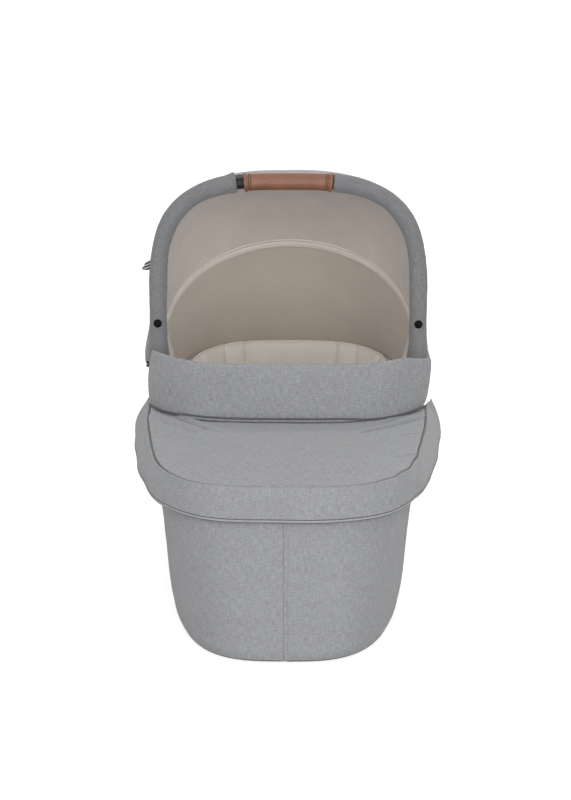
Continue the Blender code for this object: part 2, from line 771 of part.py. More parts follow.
def bow_places(shares):
    """Points of the bow's centre line at shares of its length."""
    line = np.asarray(bow_line(DENSE * 2))
    places = np.asarray(shares) * (len(line) - 1)
    index = np.arange(len(line))
    return np.stack([np.interp(places, index, line[:, k]) for k in range(3)], axis=1)


def grip_ends():
    return bow_share_at_x(GRIP_HALF_LENGTH), bow_share_at_x(-GRIP_HALF_LENGTH)


def sleeve_ends():
    """The shares where each sleeve starts at the hub and ends at the grip: right, then left."""
    foot = (SLEEVE_START - BOW_TUBE_START) / bow_length()
    right_end = bow_share_at_x(GRIP_HALF_LENGTH + GRIP_GAP_RIGHT)
    left_end = bow_share_at_x(-GRIP_HALF_LENGTH - GRIP_GAP_LEFT)
    return (foot, right_end), (left_end, 1 - foot)


def grip_stations():
    """Shares along the grip with how far it stands over its radius there: a collar at each end."""
    start, end = grip_ends()
    collar = GRIP_COLLAR_LENGTH / bow_length()
    places = [(start + collar * share, GRIP_COLLAR_RISE * rise) for share, rise in GRIP_COLLAR_SHARES]
    places.append((start + (end - start) * GRIP_MIDDLE_SHARE, 0.0))
    return places + [(start + end - share, rise) for share, rise in reversed(places)]


def bow_stations():
    """Every share where the tube or a cover on it has a ring, so that their facets match."""
    shares = [k / (BOW_POINTS - 1) for k in range(BOW_POINTS)]
    ends = [share for pair in sleeve_ends() for share in pair]
    grip = [share for share, _ in grip_stations()]
    special = ends + grip
    apart = BOW_STATION_SHARE / BOW_POINTS
    kept = [share for share in shares if min(abs(share - other) for other in special) > apart]
    return sorted(kept + special)


def bow_length():
    line = np.asarray(bow_line(DENSE * 2))
    return float(np.linalg.norm(np.diff(line, axis=0), axis=1).sum())


def build_bow(axis):
    up = plane_normal(BOW_LEAN)
    line = bow_places(bow_stations())
    sections = [round_section(BOW_TUBE_RADIUS, BOW_SIDES)] * len(line)
    tube = solid("bow_tube", *swept(line, sections, up), BLACK_PLASTIC)
    for side in (1, -1):
        name = side_name(side)
        inner = side * knuckle_inner_x()
        outer = side * (knuckle_inner_x() + KNUCKLE_THICKNESS)
        disc = turned_x("knuckle_disc_" + name, [(inner, HUB_RADIUS), (outer, HUB_RADIUS)],
                        (PIVOT_Y, PIVOT_Z), HUB_SIDES, BLACK_PLASTIC)
        along = Vector((0.0, sin(BOW_LEAN), cos(BOW_LEAN)))
        across = Vector(up)
        root = Vector((0.0, PIVOT_Y, PIVOT_Z))
        corners = []
        for reach in (PIN_RADIUS + HUB_PIN_MARGIN, KNUCKLE_NECK_LENGTH):
            for x, wide in ((inner, -1), (outer, -1), (outer, 1), (inner, 1)):
                spot = root + along * reach + across * (wide * KNUCKLE_NECK_HALF_WIDTH)
                corners.append((x, spot.y, spot.z))
        neck = solid("knuckle_neck_" + name, corners, BOX_FACES, BLACK_PLASTIC, False)
        combine(tube, disc, "UNION")
        combine(tube, neck, "UNION")
        combine(tube, pin_bore("knuckle_bore_" + name, inner, outer, side), "DIFFERENCE")
    hang(tube, axis)


def build_sleeves(axis):
    """Padded cloth sleeves on the legs and shoulders, and a leather grip between them."""
    up = plane_normal(BOW_LEAN)
    bore = BOW_TUBE_RADIUS + SEAT_GAP
    stations = bow_stations()
    for name, hub_end, start, end in (
        ("sleeve_right", sleeve_ends()[0][0], *sleeve_ends()[0]),
        ("sleeve_left", sleeve_ends()[1][1], *sleeve_ends()[1]),
    ):
        shares = [share for share in stations if start <= share <= end]
        grip_end = start + end - hub_end
        radii = []
        for share in shares:
            swell = SLEEVE_FLARE * (1 - smoothstep(abs(share - hub_end) * bow_length() / SLEEVE_FLARE_LENGTH))
            lip = SLEEVE_LIP if share == grip_end else 0.0
            radii.append(SLEEVE_RADIUS + swell + lip)
        hang(solid(name, *pipe(bow_places(shares), radii, bore, BOW_SIDES, up), GREY_CLOTH), axis)

    path = bow_places([share for share, _ in grip_stations()])
    radii = [GRIP_RADIUS + rise for _, rise in grip_stations()]
    hang(solid("grip_cover", *pipe(path, radii, bore, BOW_SIDES, up), BROWN_LEATHER), axis)


def build_studs(axis):
    """A press stud on the front of each leg, through the sleeve to the tube."""
    front = -Vector(plane_normal(BOW_LEAN))
    side_way = Vector((1.0, 0.0, 0.0))
    up_way = front.cross(side_way)
    start = SLEEVE_RADIUS * cos(pi / BOW_SIDES) + 2 * SEAT_GAP
    for side in (1, -1):
        centre = Vector(polar_point(side * bow_half_width_at(STUD_REACH), STUD_REACH, BOW_LEAN))
        stack = []
        for depth, share in STUD_SHARES:
            middle = centre + front * (start + STUD_THICKNESS * depth)
            edge = round_section(STUD_RADIUS * share, STUD_SIDES)
            stack.append([tuple(middle + side_way * u + up_way * v) for u, v in edge])
        hang(solid("stud_" + side_name(side), *rings(stack, False), BLACK_PLASTIC), axis)


def rib_arch(offset, start, count):
    """The middle rib's arch, moved outwards by an offset."""
    return arch(RIB_HALF_WIDTH + offset, RIB_REACH + offset, RIB_STRAIGHT, RIB_POWER, start, count)


def rib_tuck(distance):
    """How far the rib's legs are tucked inwards near the hub, to pass inside the bow's sleeves."""
    hub_x = rib_disc_outer_x() - RIB_DISC_THICKNESS / 2
    share = smoothstep((distance - RIB_TUCK_START) / (RIB_TUCK_END - RIB_TUCK_START))
    return (RIB_HALF_WIDTH - hub_x) * (1 - share)


def tucked_x(x, distance):
    return x - rib_tuck(distance) * (1 if x > 0 else -1)


def build_rib(axis):
    line = []
    for x, distance in rib_arch(0.0, RIB_START, RIB_POINTS):
        line.append(polar_point(tucked_x(x, distance), distance, RIB_LEAN))
    section = [
        (-RIB_HALF_DEPTH, -RIB_HALF_BREADTH), (RIB_HALF_DEPTH, -RIB_HALF_BREADTH),
        (RIB_HALF_DEPTH, RIB_HALF_BREADTH), (-RIB_HALF_DEPTH, RIB_HALF_BREADTH),
    ]
    rib = solid("mid_rib", *swept(line, [section] * len(line), plane_normal(RIB_LEAN)), BLACK_PLASTIC, False)
    for side in (1, -1):
        name = side_name(side)
        outer = side * rib_disc_outer_x()
        inner = side * (rib_disc_outer_x() - RIB_DISC_THICKNESS)
        disc = turned_x("rib_disc_" + name, [(inner, RIB_DISC_RADIUS), (outer, RIB_DISC_RADIUS)],
                        (PIVOT_Y, PIVOT_Z), DISC_SIDES, BLACK_PLASTIC)
        combine(rib, disc, "UNION")
        combine(rib, pin_bore("rib_bore_" + name, inner, outer, side), "DIFFERENCE")
    hang(rib, axis)


def bow_edge(offset):
    """The hood's front edge as (x, distance, lean), just behind the bow's sleeves and grip."""
    cover = max(SLEEVE_RADIUS + SLEEVE_FLARE, GRIP_RADIUS + GRIP_COLLAR_RISE)
    away = cover + HOOD_THICKNESS / 2 + HOOD_BOW_CLEAR
    behind = sqrt(max(away * away - offset * offset, 0.0))
    line = arch(BOW_HALF_WIDTH + offset, BOW_REACH + offset, BOW_STRAIGHT, BOW_POWER, HOOD_START, HOOD_ACROSS)
    return [(x, distance, BOW_LEAN + asin(behind / distance)) for x, distance in line]


def rib_edge(offset, way):
    """The hood's line over the middle rib, just before it, -1, or behind it, 1."""
    edge = []
    for x, distance in rib_arch(offset, HOOD_START, HOOD_ACROSS):
        across = tucked_x(x, distance) if offset < 0 else x
        edge.append((across, distance, RIB_LEAN + way * HOOD_RIB_GAP / distance))
    return edge


def rim_edge(inset):
    """The hood's lower edge on the rim, from the right hub round the head end to the left hub."""
    height = rim_top() + HOOD_RIM_LIFT
    outline = rounded_outline(*wall_sizes(RIM_HEIGHT, inset), DENSE)
    run = [(x, y) for x, y in outline if y >= PIVOT_Y + HOOD_RIM_START]
    edge = []
    for x, y in even(run, HOOD_ACROSS):
        away = y - PIVOT_Y
        above = height - PIVOT_Z
        edge.append((x, sqrt(away * away + above * above), atan2(away, above)))
    return edge


def hood_panel(name, first, last, swell, look):
    """A fabric panel between two edges, interpolated round the hub's axis."""
    grid = []
    for k in range(HOOD_ALONG):
        share = k / (HOOD_ALONG - 1)
        row = []
        for j, (a, b) in enumerate(zip(first, last)):
            top = sin(pi * j / (HOOD_ACROSS - 1))
            x = a[0] + (b[0] - a[0]) * share
            distance = a[1] + (b[1] - a[1]) * share + swell * sin(pi * share) * top
            lean = a[2] + (b[2] - a[2]) * share
            row.append(polar_point(x, distance, lean))
        grid.append(row)
    return solid(name, *sheet(grid, HOOD_THICKNESS), look)


def build_hood(bow_axis, rib_axis):
    out = HOOD_STAND_OFF
    before = rib_edge(out, -1)
    behind = rib_edge(out, 1)
    front = hood_panel("canopy_front", bow_edge(HOOD_BOW_STAND_OFF), before, HOOD_BULGE, GREY_CLOTH)
    rear = hood_panel("canopy_rear", behind, rim_edge(HOOD_RIM_INSET), -HOOD_SAG, GREY_CLOTH)
    before = rib_edge(-out, -1)
    behind = rib_edge(-out, 1)
    inner_front = hood_panel("lining_front", bow_edge(-out), before, 0.0, LINING_CLOTH)
    inner_rear = hood_panel("lining_rear", behind, rim_edge(TRIM_WIDTH), -HOOD_SAG, LINING_CLOTH)
    hang(front, bow_axis)
    hang(inner_front, bow_axis)
    hang(rear, rib_axis)
    hang(inner_rear, rib_axis)


def build_tag(axis):
    """A folded fabric tab that stands out from the left shoulder."""
    out = bow_half_width_at(TAG_REACH) + SLEEVE_RADIUS + SEAT_GAP + TAG_WIDTH / 2
    centre = polar_point(-out, TAG_REACH, BOW_LEAN)
    low = (centre[0] - TAG_WIDTH / 2, centre[1] - TAG_THICKNESS / 2, centre[2] - TAG_HEIGHT / 2)
    high = (centre[0] + TAG_WIDTH / 2, centre[1] + TAG_THICKNESS / 2, centre[2] + TAG_HEIGHT / 2)
    hang(box("label_tag", low, high, TAG_CLOTH), axis)


def apron_height():
    return rim_top() + APRON_LIFT + APRON_THICKNESS


def seam_line(count, outset=0.0):
    """The apron's seam round the foot end, from its right rear corner to its left one."""
    half_width, half_length, power = wall_sizes(RIM_HEIGHT, -SEAM_OUTSET - outset)
    outline = rounded_outline(half_width, half_length, power, DENSE)
    run = [(x, y) for x, y in outline if y < APRON_REAR_Y]
    run.sort(key=lambda spot: atan2(spot[0], -spot[1]), reverse=True)
    return even([(half_width, APRON_REAR_Y)] + run + [(-half_width, APRON_REAR_Y)], count)


def rear_bulge(x, half_width):
    return APRON_BULGE * (1 - min(abs(x) / half_width, 1.0) ** APRON_BULGE_POWER)


def apron_outline():
    """The top panel's edge: the seam round the foot end, then the curved rear edge."""
    seam = seam_line(SEAM_POINTS)
    half_width = seam[0][0]
    rear = []
    for k in range(1, APRON_REAR_STEPS):
        x = -half_width + 2 * half_width * k / APRON_REAR_STEPS
        rear.append((x, APRON_REAR_Y - rear_bulge(x, half_width)))
    return [tuple(p) for p in seam] + rear


def apron_crown(x, y, share):
    """Height of the apron's padded crown over its edge: none at the seam or under the flap."""
    before_flap = APRON_REAR_Y - rear_bulge(x, seam_line(2)[0][0]) - FLAP_CLEAR - y
    from_seam = smoothstep((1 - share) / APRON_CROWN_RISE_SHARE)
    return APRON_CROWN * from_seam * smoothstep(before_flap / APRON_CROWN_RUN)


def build_apron(axis):
    outline = apron_outline()
    top = apron_height()
    upper = []
    lower = []
    for share in APRON_RING_SHARES:
        ring = [(x * share, APRON_CENTRE_Y + (y - APRON_CENTRE_Y) * share) for x, y in outline]
        crowned = [(x, y, top + apron_crown(x, y, share)) for x, y in ring]
        upper.append(crowned)
        lower.append([(x, y, z - APRON_THICKNESS) for x, y, z in crowned])
    hang(solid("apron_top", *rings(lower[::-1] + upper, False), GREY_CLOTH), axis)

    hang(solid("apron_skirt", *sheet(skirt_grid(), SKIRT_THICKNESS), GREY_CLOTH), axis)

    seam = seam_line(SEAM_POINTS, PIPING_RADIUS + PIPING_GAP)
    line = [(x, y, top - APRON_THICKNESS / 2) for x, y in seam]
    section = round_section(PIPING_RADIUS, PIPING_SIDES)
    hang(solid("apron_piping", *swept(line, [section] * len(line), (0, 0, 1)), DARK_PIPING), axis)

    hem = [skirt_point(k / (SKIRT_POINTS - 1), 1.0) for k in range(SKIRT_POINTS)]
    half = HEM_THICKNESS / 2
    top_edge = -HEM_GAP
    low_edge = -HEM_GAP - HEM_HEIGHT
    section = [(-half, low_edge), (half, low_edge), (half, top_edge), (-half, top_edge)]
    hang(solid("hem_binding", *swept(hem, [section] * len(hem), (0, 0, 1)), DARK_PIPING), axis)


def skirt_path():
    """Plan of the skirt's upper edge, with a pointed tail behind each end of the seam."""
    seam = seam_line(DENSE, 2 * PIPING_RADIUS + 2 * PIPING_GAP + SKIRT_THICKNESS / 2)
    half_width = seam[0][0]
    tail = []
    for k in range(SKIRT_TAIL_STEPS):
        share = 1 - k / SKIRT_TAIL_STEPS
        y = APRON_REAR_Y + (SKIRT_CORNER_Y - APRON_REAR_Y) * share
        tail.append((half_width + SKIRT_CORNER_FLARE * smoothstep(share), y))
    left = [(-x, y) for x, y in reversed(tail)]
    return even(tail + [tuple(p) for p in seam] + left, DENSE * 2)


def skirt_point(share_along, share_down):
    """A point of the skirt: along from the right tail to the left one, and down from the seam."""
    path = skirt_path()
    place = share_along * (len(path) - 1)
    index = np.arange(len(path))
    x = float(np.interp(place, index, path[:, 0]))
    y = float(np.interp(place, index, path[:, 1]))
    ahead = path[min(int(place) + SKIRT_NEARBY_POINTS, len(path) - 1)]
    behind = path[max(int(place) - SKIRT_NEARBY_POINTS, 0)]
    way = ahead - behind
    way /= np.linalg.norm(way)
    out = np.array([-way[1], way[0]])
    if out @ np.array([x, y - APRON_CENTRE_Y]) < 0:
        out = -out
    tail = smoothstep(min(share_along, 1 - share_along) / SKIRT_TAIL_SHARE)
    drop = SKIRT_CORNER_DROP + (SKIRT_DROP - SKIRT_CORNER_DROP) * tail
    ahead_of_foot = y / RIM_HALF_LENGTH + SKIRT_FLARE_START_SHARE
    sidewards = abs(out[0]) ** SKIRT_FLARE_POWER * smoothstep(ahead_of_foot / SKIRT_FLARE_RUN_SHARE)
    flare = (SKIRT_FLARE_FOOT + (SKIRT_FLARE_SIDE - SKIRT_FLARE_FOOT) * sidewards) * tail
    wave = SKIRT_FOLD_DEPTH * sin(2 * pi * SKIRT_FOLD_COUNT * share_along) * tail
    eased = 1 - (1 - share_down) ** 2
    push = flare * eased + wave * share_down ** 2
    top = apron_height() - APRON_THICKNESS / 2
    return (x + out[0] * push, y + out[1] * push, top - drop * share_down)


def skirt_grid():
    grid = []
    for k in range(SKIRT_POINTS):
        along = k / (SKIRT_POINTS - 1)
        grid.append([skirt_point(along, row / (SKIRT_ROWS - 1)) for row in range(SKIRT_ROWS)])
    return grid


def flap_line(count):
    """Plan of the flap's middle: flat across the apron, turned back at both ends."""
    dense = []
    for k in range(DENSE + 1):
        x = FLAP_HALF_WIDTH * (1 - 2 * k / DENSE)
        dense.append((x, FLAP_END_Y - rear_bulge(x, FLAP_HALF_WIDTH)))
    return even(dense, count)


def flap_foot():
    return apron_height() + FLAP_LIFT


def build_flap(axis):
    """A padded collar with a rounded top edge, leaning a little to the foot end."""
    line = [(x, y, flap_foot()) for x, y in flap_line(FLAP_POINTS)]
    front = []
    rear = []
    for height, padding in FLAP_SECTION_SHARES:
        half = (FLAP_EDGE_THICKNESS + (FLAP_THICKNESS - FLAP_EDGE_THICKNESS) * padding) / 2
        front.append((FLAP_LEAN * height + half, FLAP_HEIGHT * height))
        rear.append((FLAP_LEAN * height - half, FLAP_HEIGHT * height))
    section = front + [(FLAP_LEAN, FLAP_HEIGHT)] + rear[::-1]
    hang(solid("wind_flap", *swept(line, [section] * len(line), (0, 0, 1)), GREY_CLOTH), axis)

    foot = flap_foot() - SEAT_GAP - FLAP_PIPING_RADIUS
    line = [(x, y, foot) for x, y in flap_line(FLAP_POINTS)]
    sections = [round_section(FLAP_PIPING_RADIUS, PIPING_SIDES)] * len(line)
    hang(solid("flap_piping", *swept(line, sections, (0, 0, 1)), DARK_PIPING), axis)


def build_socket(side):
    """A moulded socket on the outside of the wall, open downwards, with a release button."""
    name = side_name(side)
    heights = (SOCKET_BOTTOM, SOCKET_SHOULDER, SOCKET_TOP)
    inner = [(wall_sizes(height)[0] + 2 * SEAT_GAP, height) for height in heights]
    outer = [(SOCKET_TOP_OUTER_X, SOCKET_TOP), (SOCKET_OUTER_X, SOCKET_SHOULDER)]
    profile = inner + outer + [(SOCKET_OUTER_X, SOCKET_BOTTOM)]
    stack = []
    for y in (-SOCKET_HALF_LENGTH, SOCKET_HALF_LENGTH):
        stack.append([(side * x, PIVOT_Y + y, z) for x, z in profile])
    housing = solid("adapter_socket_" + name, *rings(stack, False), BLACK_PLASTIC, False)
    bevel(housing, SOCKET_ROUND, 1)
    bore_inner = RIM_HALF_WIDTH - SOCKET_BORE_HALF_WIDTH
    bore_outer = RIM_HALF_WIDTH + SOCKET_BORE_HALF_WIDTH
    low = (bore_inner, PIVOT_Y - SOCKET_BORE_HALF_LENGTH, SOCKET_BOTTOM - CUT_OVERRUN)
    high = (bore_outer, PIVOT_Y + SOCKET_BORE_HALF_LENGTH, SOCKET_BOTTOM + SOCKET_BORE_DEPTH)
    bore = box("socket_bore_" + name, *side_corners(low, high, side), BLACK_PLASTIC)
    combine(housing, bore, "DIFFERENCE")
    half_length = RELEASE_HALF_LENGTH + SEAT_GAP
    half_height = RELEASE_HALF_HEIGHT + SEAT_GAP
    low = (SOCKET_OUTER_X - RELEASE_POCKET, PIVOT_Y - half_length, RELEASE_Z - half_height)
    high = (SOCKET_OUTER_X + CUT_OVERRUN, PIVOT_Y + half_length, RELEASE_Z + half_height)
    pocket = box("release_pocket_" + name, *side_corners(low, high, side), BLACK_PLASTIC)
    combine(housing, pocket, "DIFFERENCE")

    button_outer = SOCKET_OUTER_X + RELEASE_PROUD
    button_inner = button_outer - RELEASE_THICKNESS
    low = (button_inner, PIVOT_Y - RELEASE_HALF_LENGTH, RELEASE_Z - RELEASE_HALF_HEIGHT)
    high = (button_outer, PIVOT_Y + RELEASE_HALF_LENGTH, RELEASE_Z + RELEASE_HALF_HEIGHT)
    button = box("release_button_" + name, *side_corners(low, high, side), BLACK_PLASTIC)
    hang(button, axis_empty("release_axis_" + name, (side * button_inner, PIVOT_Y, RELEASE_Z)))
    spring_inner = SOCKET_OUTER_X - RELEASE_POCKET + SEAT_GAP
    spring_outer = button_inner - RELEASE_TRAVEL - SEAT_GAP
    turned_x(
        "release_spring_" + name,
        [(side * spring_inner, RELEASE_SPRING_RADIUS), (side * spring_outer, RELEASE_SPRING_RADIUS)],
        (PIVOT_Y, RELEASE_Z), SPRING_SIDES, STEEL, RELEASE_SPRING_RADIUS - RELEASE_SPRING_WALL,
    )


def side_corners(low, high, side):
    """Mirror a box's corners to the other side of the body."""
    if side > 0:
        return low, high
    return (-high[0], low[1], low[2]), (-low[0], high[1], high[2])


def main():
    clear_scene()
    build_body()
    build_rim()
    build_struts()
    build_liner()
    build_mattress()
    pivot = (0.0, PIVOT_Y, PIVOT_Z)
    rib_axis = axis_empty("hood_rib_axis", pivot)
    bow_axis = axis_empty("hood_bow_axis", pivot, rib_axis)
    for side in (1, -1):
        build_hub(side)
        build_socket(side)
    build_rib(rib_axis)
    build_bow(bow_axis)
    build_sleeves(bow_axis)
    build_studs(bow_axis)
    build_hood(bow_axis, rib_axis)
    build_tag(bow_axis)
    foot_y = -(RIM_HALF_LENGTH + SEAM_OUTSET + PEEL_AXIS_OUTSET)
    peel_axis = axis_empty("apron_axis", (0.0, foot_y, apron_height() - APRON_THICKNESS / 2 - SKIRT_DROP))
    flap_front = FLAP_END_Y - APRON_BULGE - FLAP_THICKNESS / 2
    flap_axis = axis_empty("wind_flap_axis", (0.0, flap_front, apron_height()), peel_axis)
    build_apron(peel_axis)
    build_flap(flap_axis)


main()
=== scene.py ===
"""Looks of the carrycot: cloth, padding, seams and trim built round its fixed frame.

Metres. +X is the right side seen from the foot end, +Y points to the head end, +Z is up.
Outlines in plan run anticlockwise from +X, and shares are parts of a line's length.
"""

from math import cos, pi, radians, sin, tau

import bmesh
import bpy
import numpy as np
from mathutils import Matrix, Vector, noise


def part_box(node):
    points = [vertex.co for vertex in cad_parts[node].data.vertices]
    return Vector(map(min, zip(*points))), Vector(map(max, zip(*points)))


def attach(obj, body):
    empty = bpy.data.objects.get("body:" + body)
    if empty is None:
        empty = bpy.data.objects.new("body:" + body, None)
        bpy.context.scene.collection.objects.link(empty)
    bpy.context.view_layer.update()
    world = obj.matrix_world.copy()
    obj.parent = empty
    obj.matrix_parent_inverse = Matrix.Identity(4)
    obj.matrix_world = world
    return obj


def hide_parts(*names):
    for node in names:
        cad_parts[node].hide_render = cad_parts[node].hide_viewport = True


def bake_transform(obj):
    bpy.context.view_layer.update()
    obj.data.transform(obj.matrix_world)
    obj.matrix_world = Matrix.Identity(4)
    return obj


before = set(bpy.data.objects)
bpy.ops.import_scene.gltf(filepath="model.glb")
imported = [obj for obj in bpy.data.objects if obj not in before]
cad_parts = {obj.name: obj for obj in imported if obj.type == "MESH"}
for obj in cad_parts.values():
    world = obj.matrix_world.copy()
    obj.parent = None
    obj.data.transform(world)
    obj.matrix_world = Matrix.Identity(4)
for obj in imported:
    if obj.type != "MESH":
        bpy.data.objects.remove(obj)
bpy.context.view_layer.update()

# Sizes read from the frame
RIM_HALF_WIDTH, RIM_HALF_LENGTH, RIM_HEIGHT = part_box("body_cover")[1]
PAN_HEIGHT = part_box("base_pan")[1].z
MATTRESS_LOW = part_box("mattress")[0].z
hub_low, hub_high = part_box("hub_cap_right")
button_low, button_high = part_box("hub_button_right")
PIVOT_Y = (hub_low.y + hub_high.y) / 2
PIVOT_Z = (hub_low.z + hub_high.z) / 2
PIVOT = Vector((0.0, PIVOT_Y, PIVOT_Z))
HUB_RADIUS = (hub_high.y - hub_low.y) / 2
SIDES = ((1, "right"), (-1, "left"))

# Body: a superellipse in plan that widens from the base to the rim
RIM_POWER = 3.3
BASE_HALF_WIDTH = RIM_HALF_WIDTH - 0.047
BASE_HALF_LENGTH = RIM_HALF_LENGTH - 0.012
BASE_POWER = 3.15
TOE_SHARE = 0.42
TOE_HEIGHT_SHARE = 0.09
FLARE_POWER = 2.4
RIM_TOP = RIM_HEIGHT + 0.0033

# How finely outlines, sheets and cords are divided
DENSE = 720
WALL_COLUMNS = 300
LINER_COLUMNS = 520
MATTRESS_COLUMNS = 260
APRON_COLUMNS = 260
SKIRT_COLUMNS = 460
CORD_POINTS = 400
PIPING_POINTS = 240
STITCHING_POINTS = 600

# Radii and thicknesses that are shared
THREAD_RADIUS = 0.0006
SEAM_CORD_RADIUS = 0.0018
THIN_CLOTH = 0.0009

# Bow and rib: arches in planes that lean back on the hub
BOW_LEAN = radians(7.0)
BOW_HALF_WIDTH = 0.2047
BOW_REACH = 0.3162
BOW_STRAIGHT = 0.128
BOW_POWER = 3.2
BOW_START = 0.029
TUBE_RADIUS = 0.010
BORE = TUBE_RADIUS + 0.0003
THINNEST = BORE + 0.0002
SLEEVE_RADIUS = 0.0138
RIB_LEAN = radians(60.0)
RIB_HALF_WIDTH = 0.2045
RIB_REACH = 0.334
RIB_STRAIGHT = 0.115
RIB_POWER = 2.0
RIB_HUB_X = 0.187

# Apron and flap
APRON_REAR_Y = -0.006
APRON_BULGE = 0.085
APRON_BULGE_POWER = 4.0
APRON_CENTRE_Y = -RIM_HALF_LENGTH * 0.53
APRON_TOP = RIM_TOP + 0.0039
APRON_THICKNESS = 0.0035
SEAM_OUTSET = 0.0050
FLAP_HALF_WIDTH = 0.213
FLAP_END_Y = -0.013
FLAP_HEIGHT = 0.086
FLAP_FOOT = APRON_TOP + 0.0040


def smoothstep(value):
    value = np.clip(value, 0.0, 1.0)
    return value * value * (3.0 - 2.0 * value)


def rising(value, width, start=0.0):
    """0 up to a start, then smoothly up to 1 over a width."""
    return smoothstep((value - start) / width)


def falling(value, width, start=0.0):
    """1 up to a start, then smoothly down to 0 over a width."""
    return 1 - rising(value, width, start)


def bell(distance, width):
    """1 at no distance, falling off smoothly over a width."""
    return np.exp(-(np.asarray(distance, float) / width) ** 2)


def dome(value):
    """A quarter circle from 0 at 0 to 1 at 1 and beyond."""
    return np.sqrt(np.clip(1 - (1 - np.clip(value, 0, 1)) ** 2, 0, 1))


def signed_power(value, power):
    return np.sign(value) * np.abs(value) ** power


def unit(vectors):
    return vectors / np.linalg.norm(vectors, axis=-1, keepdims=True)


def with_height(plan, height):
    """Points in plan, lifted to a height or to one height each."""
    return np.column_stack([plan, np.full(len(plan), height)])


def running(line, closed=False):
    """A line and the length run at each of its points."""
    line = np.asarray(line, float)
    if closed:
        line = np.vstack([line, line[:1]])
    steps = np.linalg.norm(np.diff(line, axis=0), axis=1)
    return line, np.concatenate([[0.0], np.cumsum(steps)])


def values_at(places, lengths, line):
    return np.stack([np.interp(places, lengths, line[:, k]) for k in range(line.shape[1])], axis=-1)


def at_shares(line, shares, closed=False):
    line, lengths = running(line, closed)
    return values_at(np.asarray(shares, float) * lengths[-1], lengths, line)


def even(line, count, closed=False):
    return at_shares(line, np.linspace(0.0, 1.0, count, endpoint=not closed), closed)


def round_shares(count):
    """Even shares of a closed outline."""
    return np.linspace(0, 1, count, endpoint=False)


def long_of(line, closed=False):
    return running(line, closed)[1][-1]


def superellipse(half_width, half_length, power):
    angle = np.linspace(0.0, tau, DENSE, endpoint=False)
    x = half_width * signed_power(np.cos(angle), 2 / power)
    y = half_length * signed_power(np.sin(angle), 2 / power)
    return even(np.column_stack([x, y]), DENSE, True)


def wall_sizes(height, outset=0.0):
    """Half width, half length and power of the wall's outline at a height."""
    share = max(height / RIM_HEIGHT, 0.0)
    spread = TOE_SHARE * (1 - np.exp(-share / TOE_HEIGHT_SHARE)) + (1 - TOE_SHARE) * share ** FLARE_POWER
    half_width = BASE_HALF_WIDTH + (RIM_HALF_WIDTH - BASE_HALF_WIDTH) * spread + outset
    half_length = BASE_HALF_LENGTH + (RIM_HALF_LENGTH - BASE_HALF_LENGTH) * spread + outset
    return half_width, half_length, BASE_POWER + (RIM_POWER - BASE_POWER) * spread


def wall_line(height, outset, shares):
    return with_height(at_shares(superellipse(*wall_sizes(height, outset)), shares, True), height)


def arch(half_width, reach, straight, power, start, count):
    """An arch in the hood's polar plane: (x, distance from the pivot) from right to left."""
    angle = np.linspace(0.0, pi, DENSE)
    x = half_width * signed_power(np.cos(angle), 2 / power)
    distance = straight + (reach - straight) * np.abs(np.sin(angle)) ** (2 / power)
    line = np.vstack([[half_width, start], np.column_stack([x, distance]), [-half_width, start]])
    return even(line, count)


def polar(x, distance, lean):
    """Points at distances from the pivot, in planes that lean back by angles."""
    x, distance, lean = np.broadcast_arrays(x, distance, lean)
    return np.stack([x, PIVOT_Y + distance * np.sin(lean), PIVOT_Z + distance * np.cos(lean)], axis=-1)


def plane_normal(lean):
    return np.array([0.0, cos(lean), -sin(lean)])


def quads(rows, columns, wrap_rows=False, wrap_columns=False):
    """The faces of a grid of points, with the unwrapped place of each corner."""
    i = np.arange(rows if wrap_rows else rows - 1)
    j = np.arange(columns if wrap_columns else columns - 1)
    i, j = np.meshgrid(i, j, indexing="ij")
    below, right = (i + 1) % rows, (j + 1) % columns
    faces = np.stack([i * columns + j, i * columns + right, below * columns + right, below * columns + j], -1)
    places = np.stack([i, j, i, j + 1, i + 1, j + 1, i + 1, j], -1)
    return faces.reshape(-1, 4), places.reshape(-1, 4, 2)


def grid_lengths(grid, wrap_rows=False, wrap_columns=False):
    """Texture places in metres: across by the mean of all rows, and down by each column."""
    across = np.concatenate([grid, grid[:, :1]], axis=1) if wrap_columns else grid
    steps = np.linalg.norm(np.diff(across, axis=1), axis=2).mean(axis=0)
    u = np.concatenate([[0.0], np.cumsum(steps)])
    down = np.concatenate([grid, grid[:1]], axis=0) if wrap_rows else grid
    steps = np.linalg.norm(np.diff(down, axis=0), axis=2)
    v = np.concatenate([np.zeros((1, steps.shape[1])), np.cumsum(steps, axis=0)])
    if wrap_columns:
        v = np.concatenate([v, v[:, :1]], axis=1)
    return np.stack([np.broadcast_to(u, v.shape), v], axis=-1)


def inside_out(mesh):
    shape = bmesh.new()
    shape.from_mesh(mesh)
    volume = shape.calc_volume(signed=True)
    shape.free()
    return volume < 0


def finish_mesh(name, points, faces, corners, look, sharp=50.0):
    """A closed mesh object that faces outward, with texture places at the corners of its faces."""
    mesh = bpy.data.meshes.new(name)
    mesh.from_pydata(np.asarray(points, float).tolist(), [], [list(map(int, face)) for face in faces])
    layer = mesh.uv_layers.new(name="cloth")
    layer.data.foreach_set("uv", np.asarray(corners, np.float32).ravel())
    mesh.validate()
    if inside_out(mesh):
        mesh.flip_normals()
    mesh.shade_smooth()
    mesh.set_sharp_from_angle(angle=radians(sharp))
    mesh.materials.append(look)
    made = bpy.data.objects.new(name, mesh)
    bpy.context.scene.collection.objects.link(made)
    return made


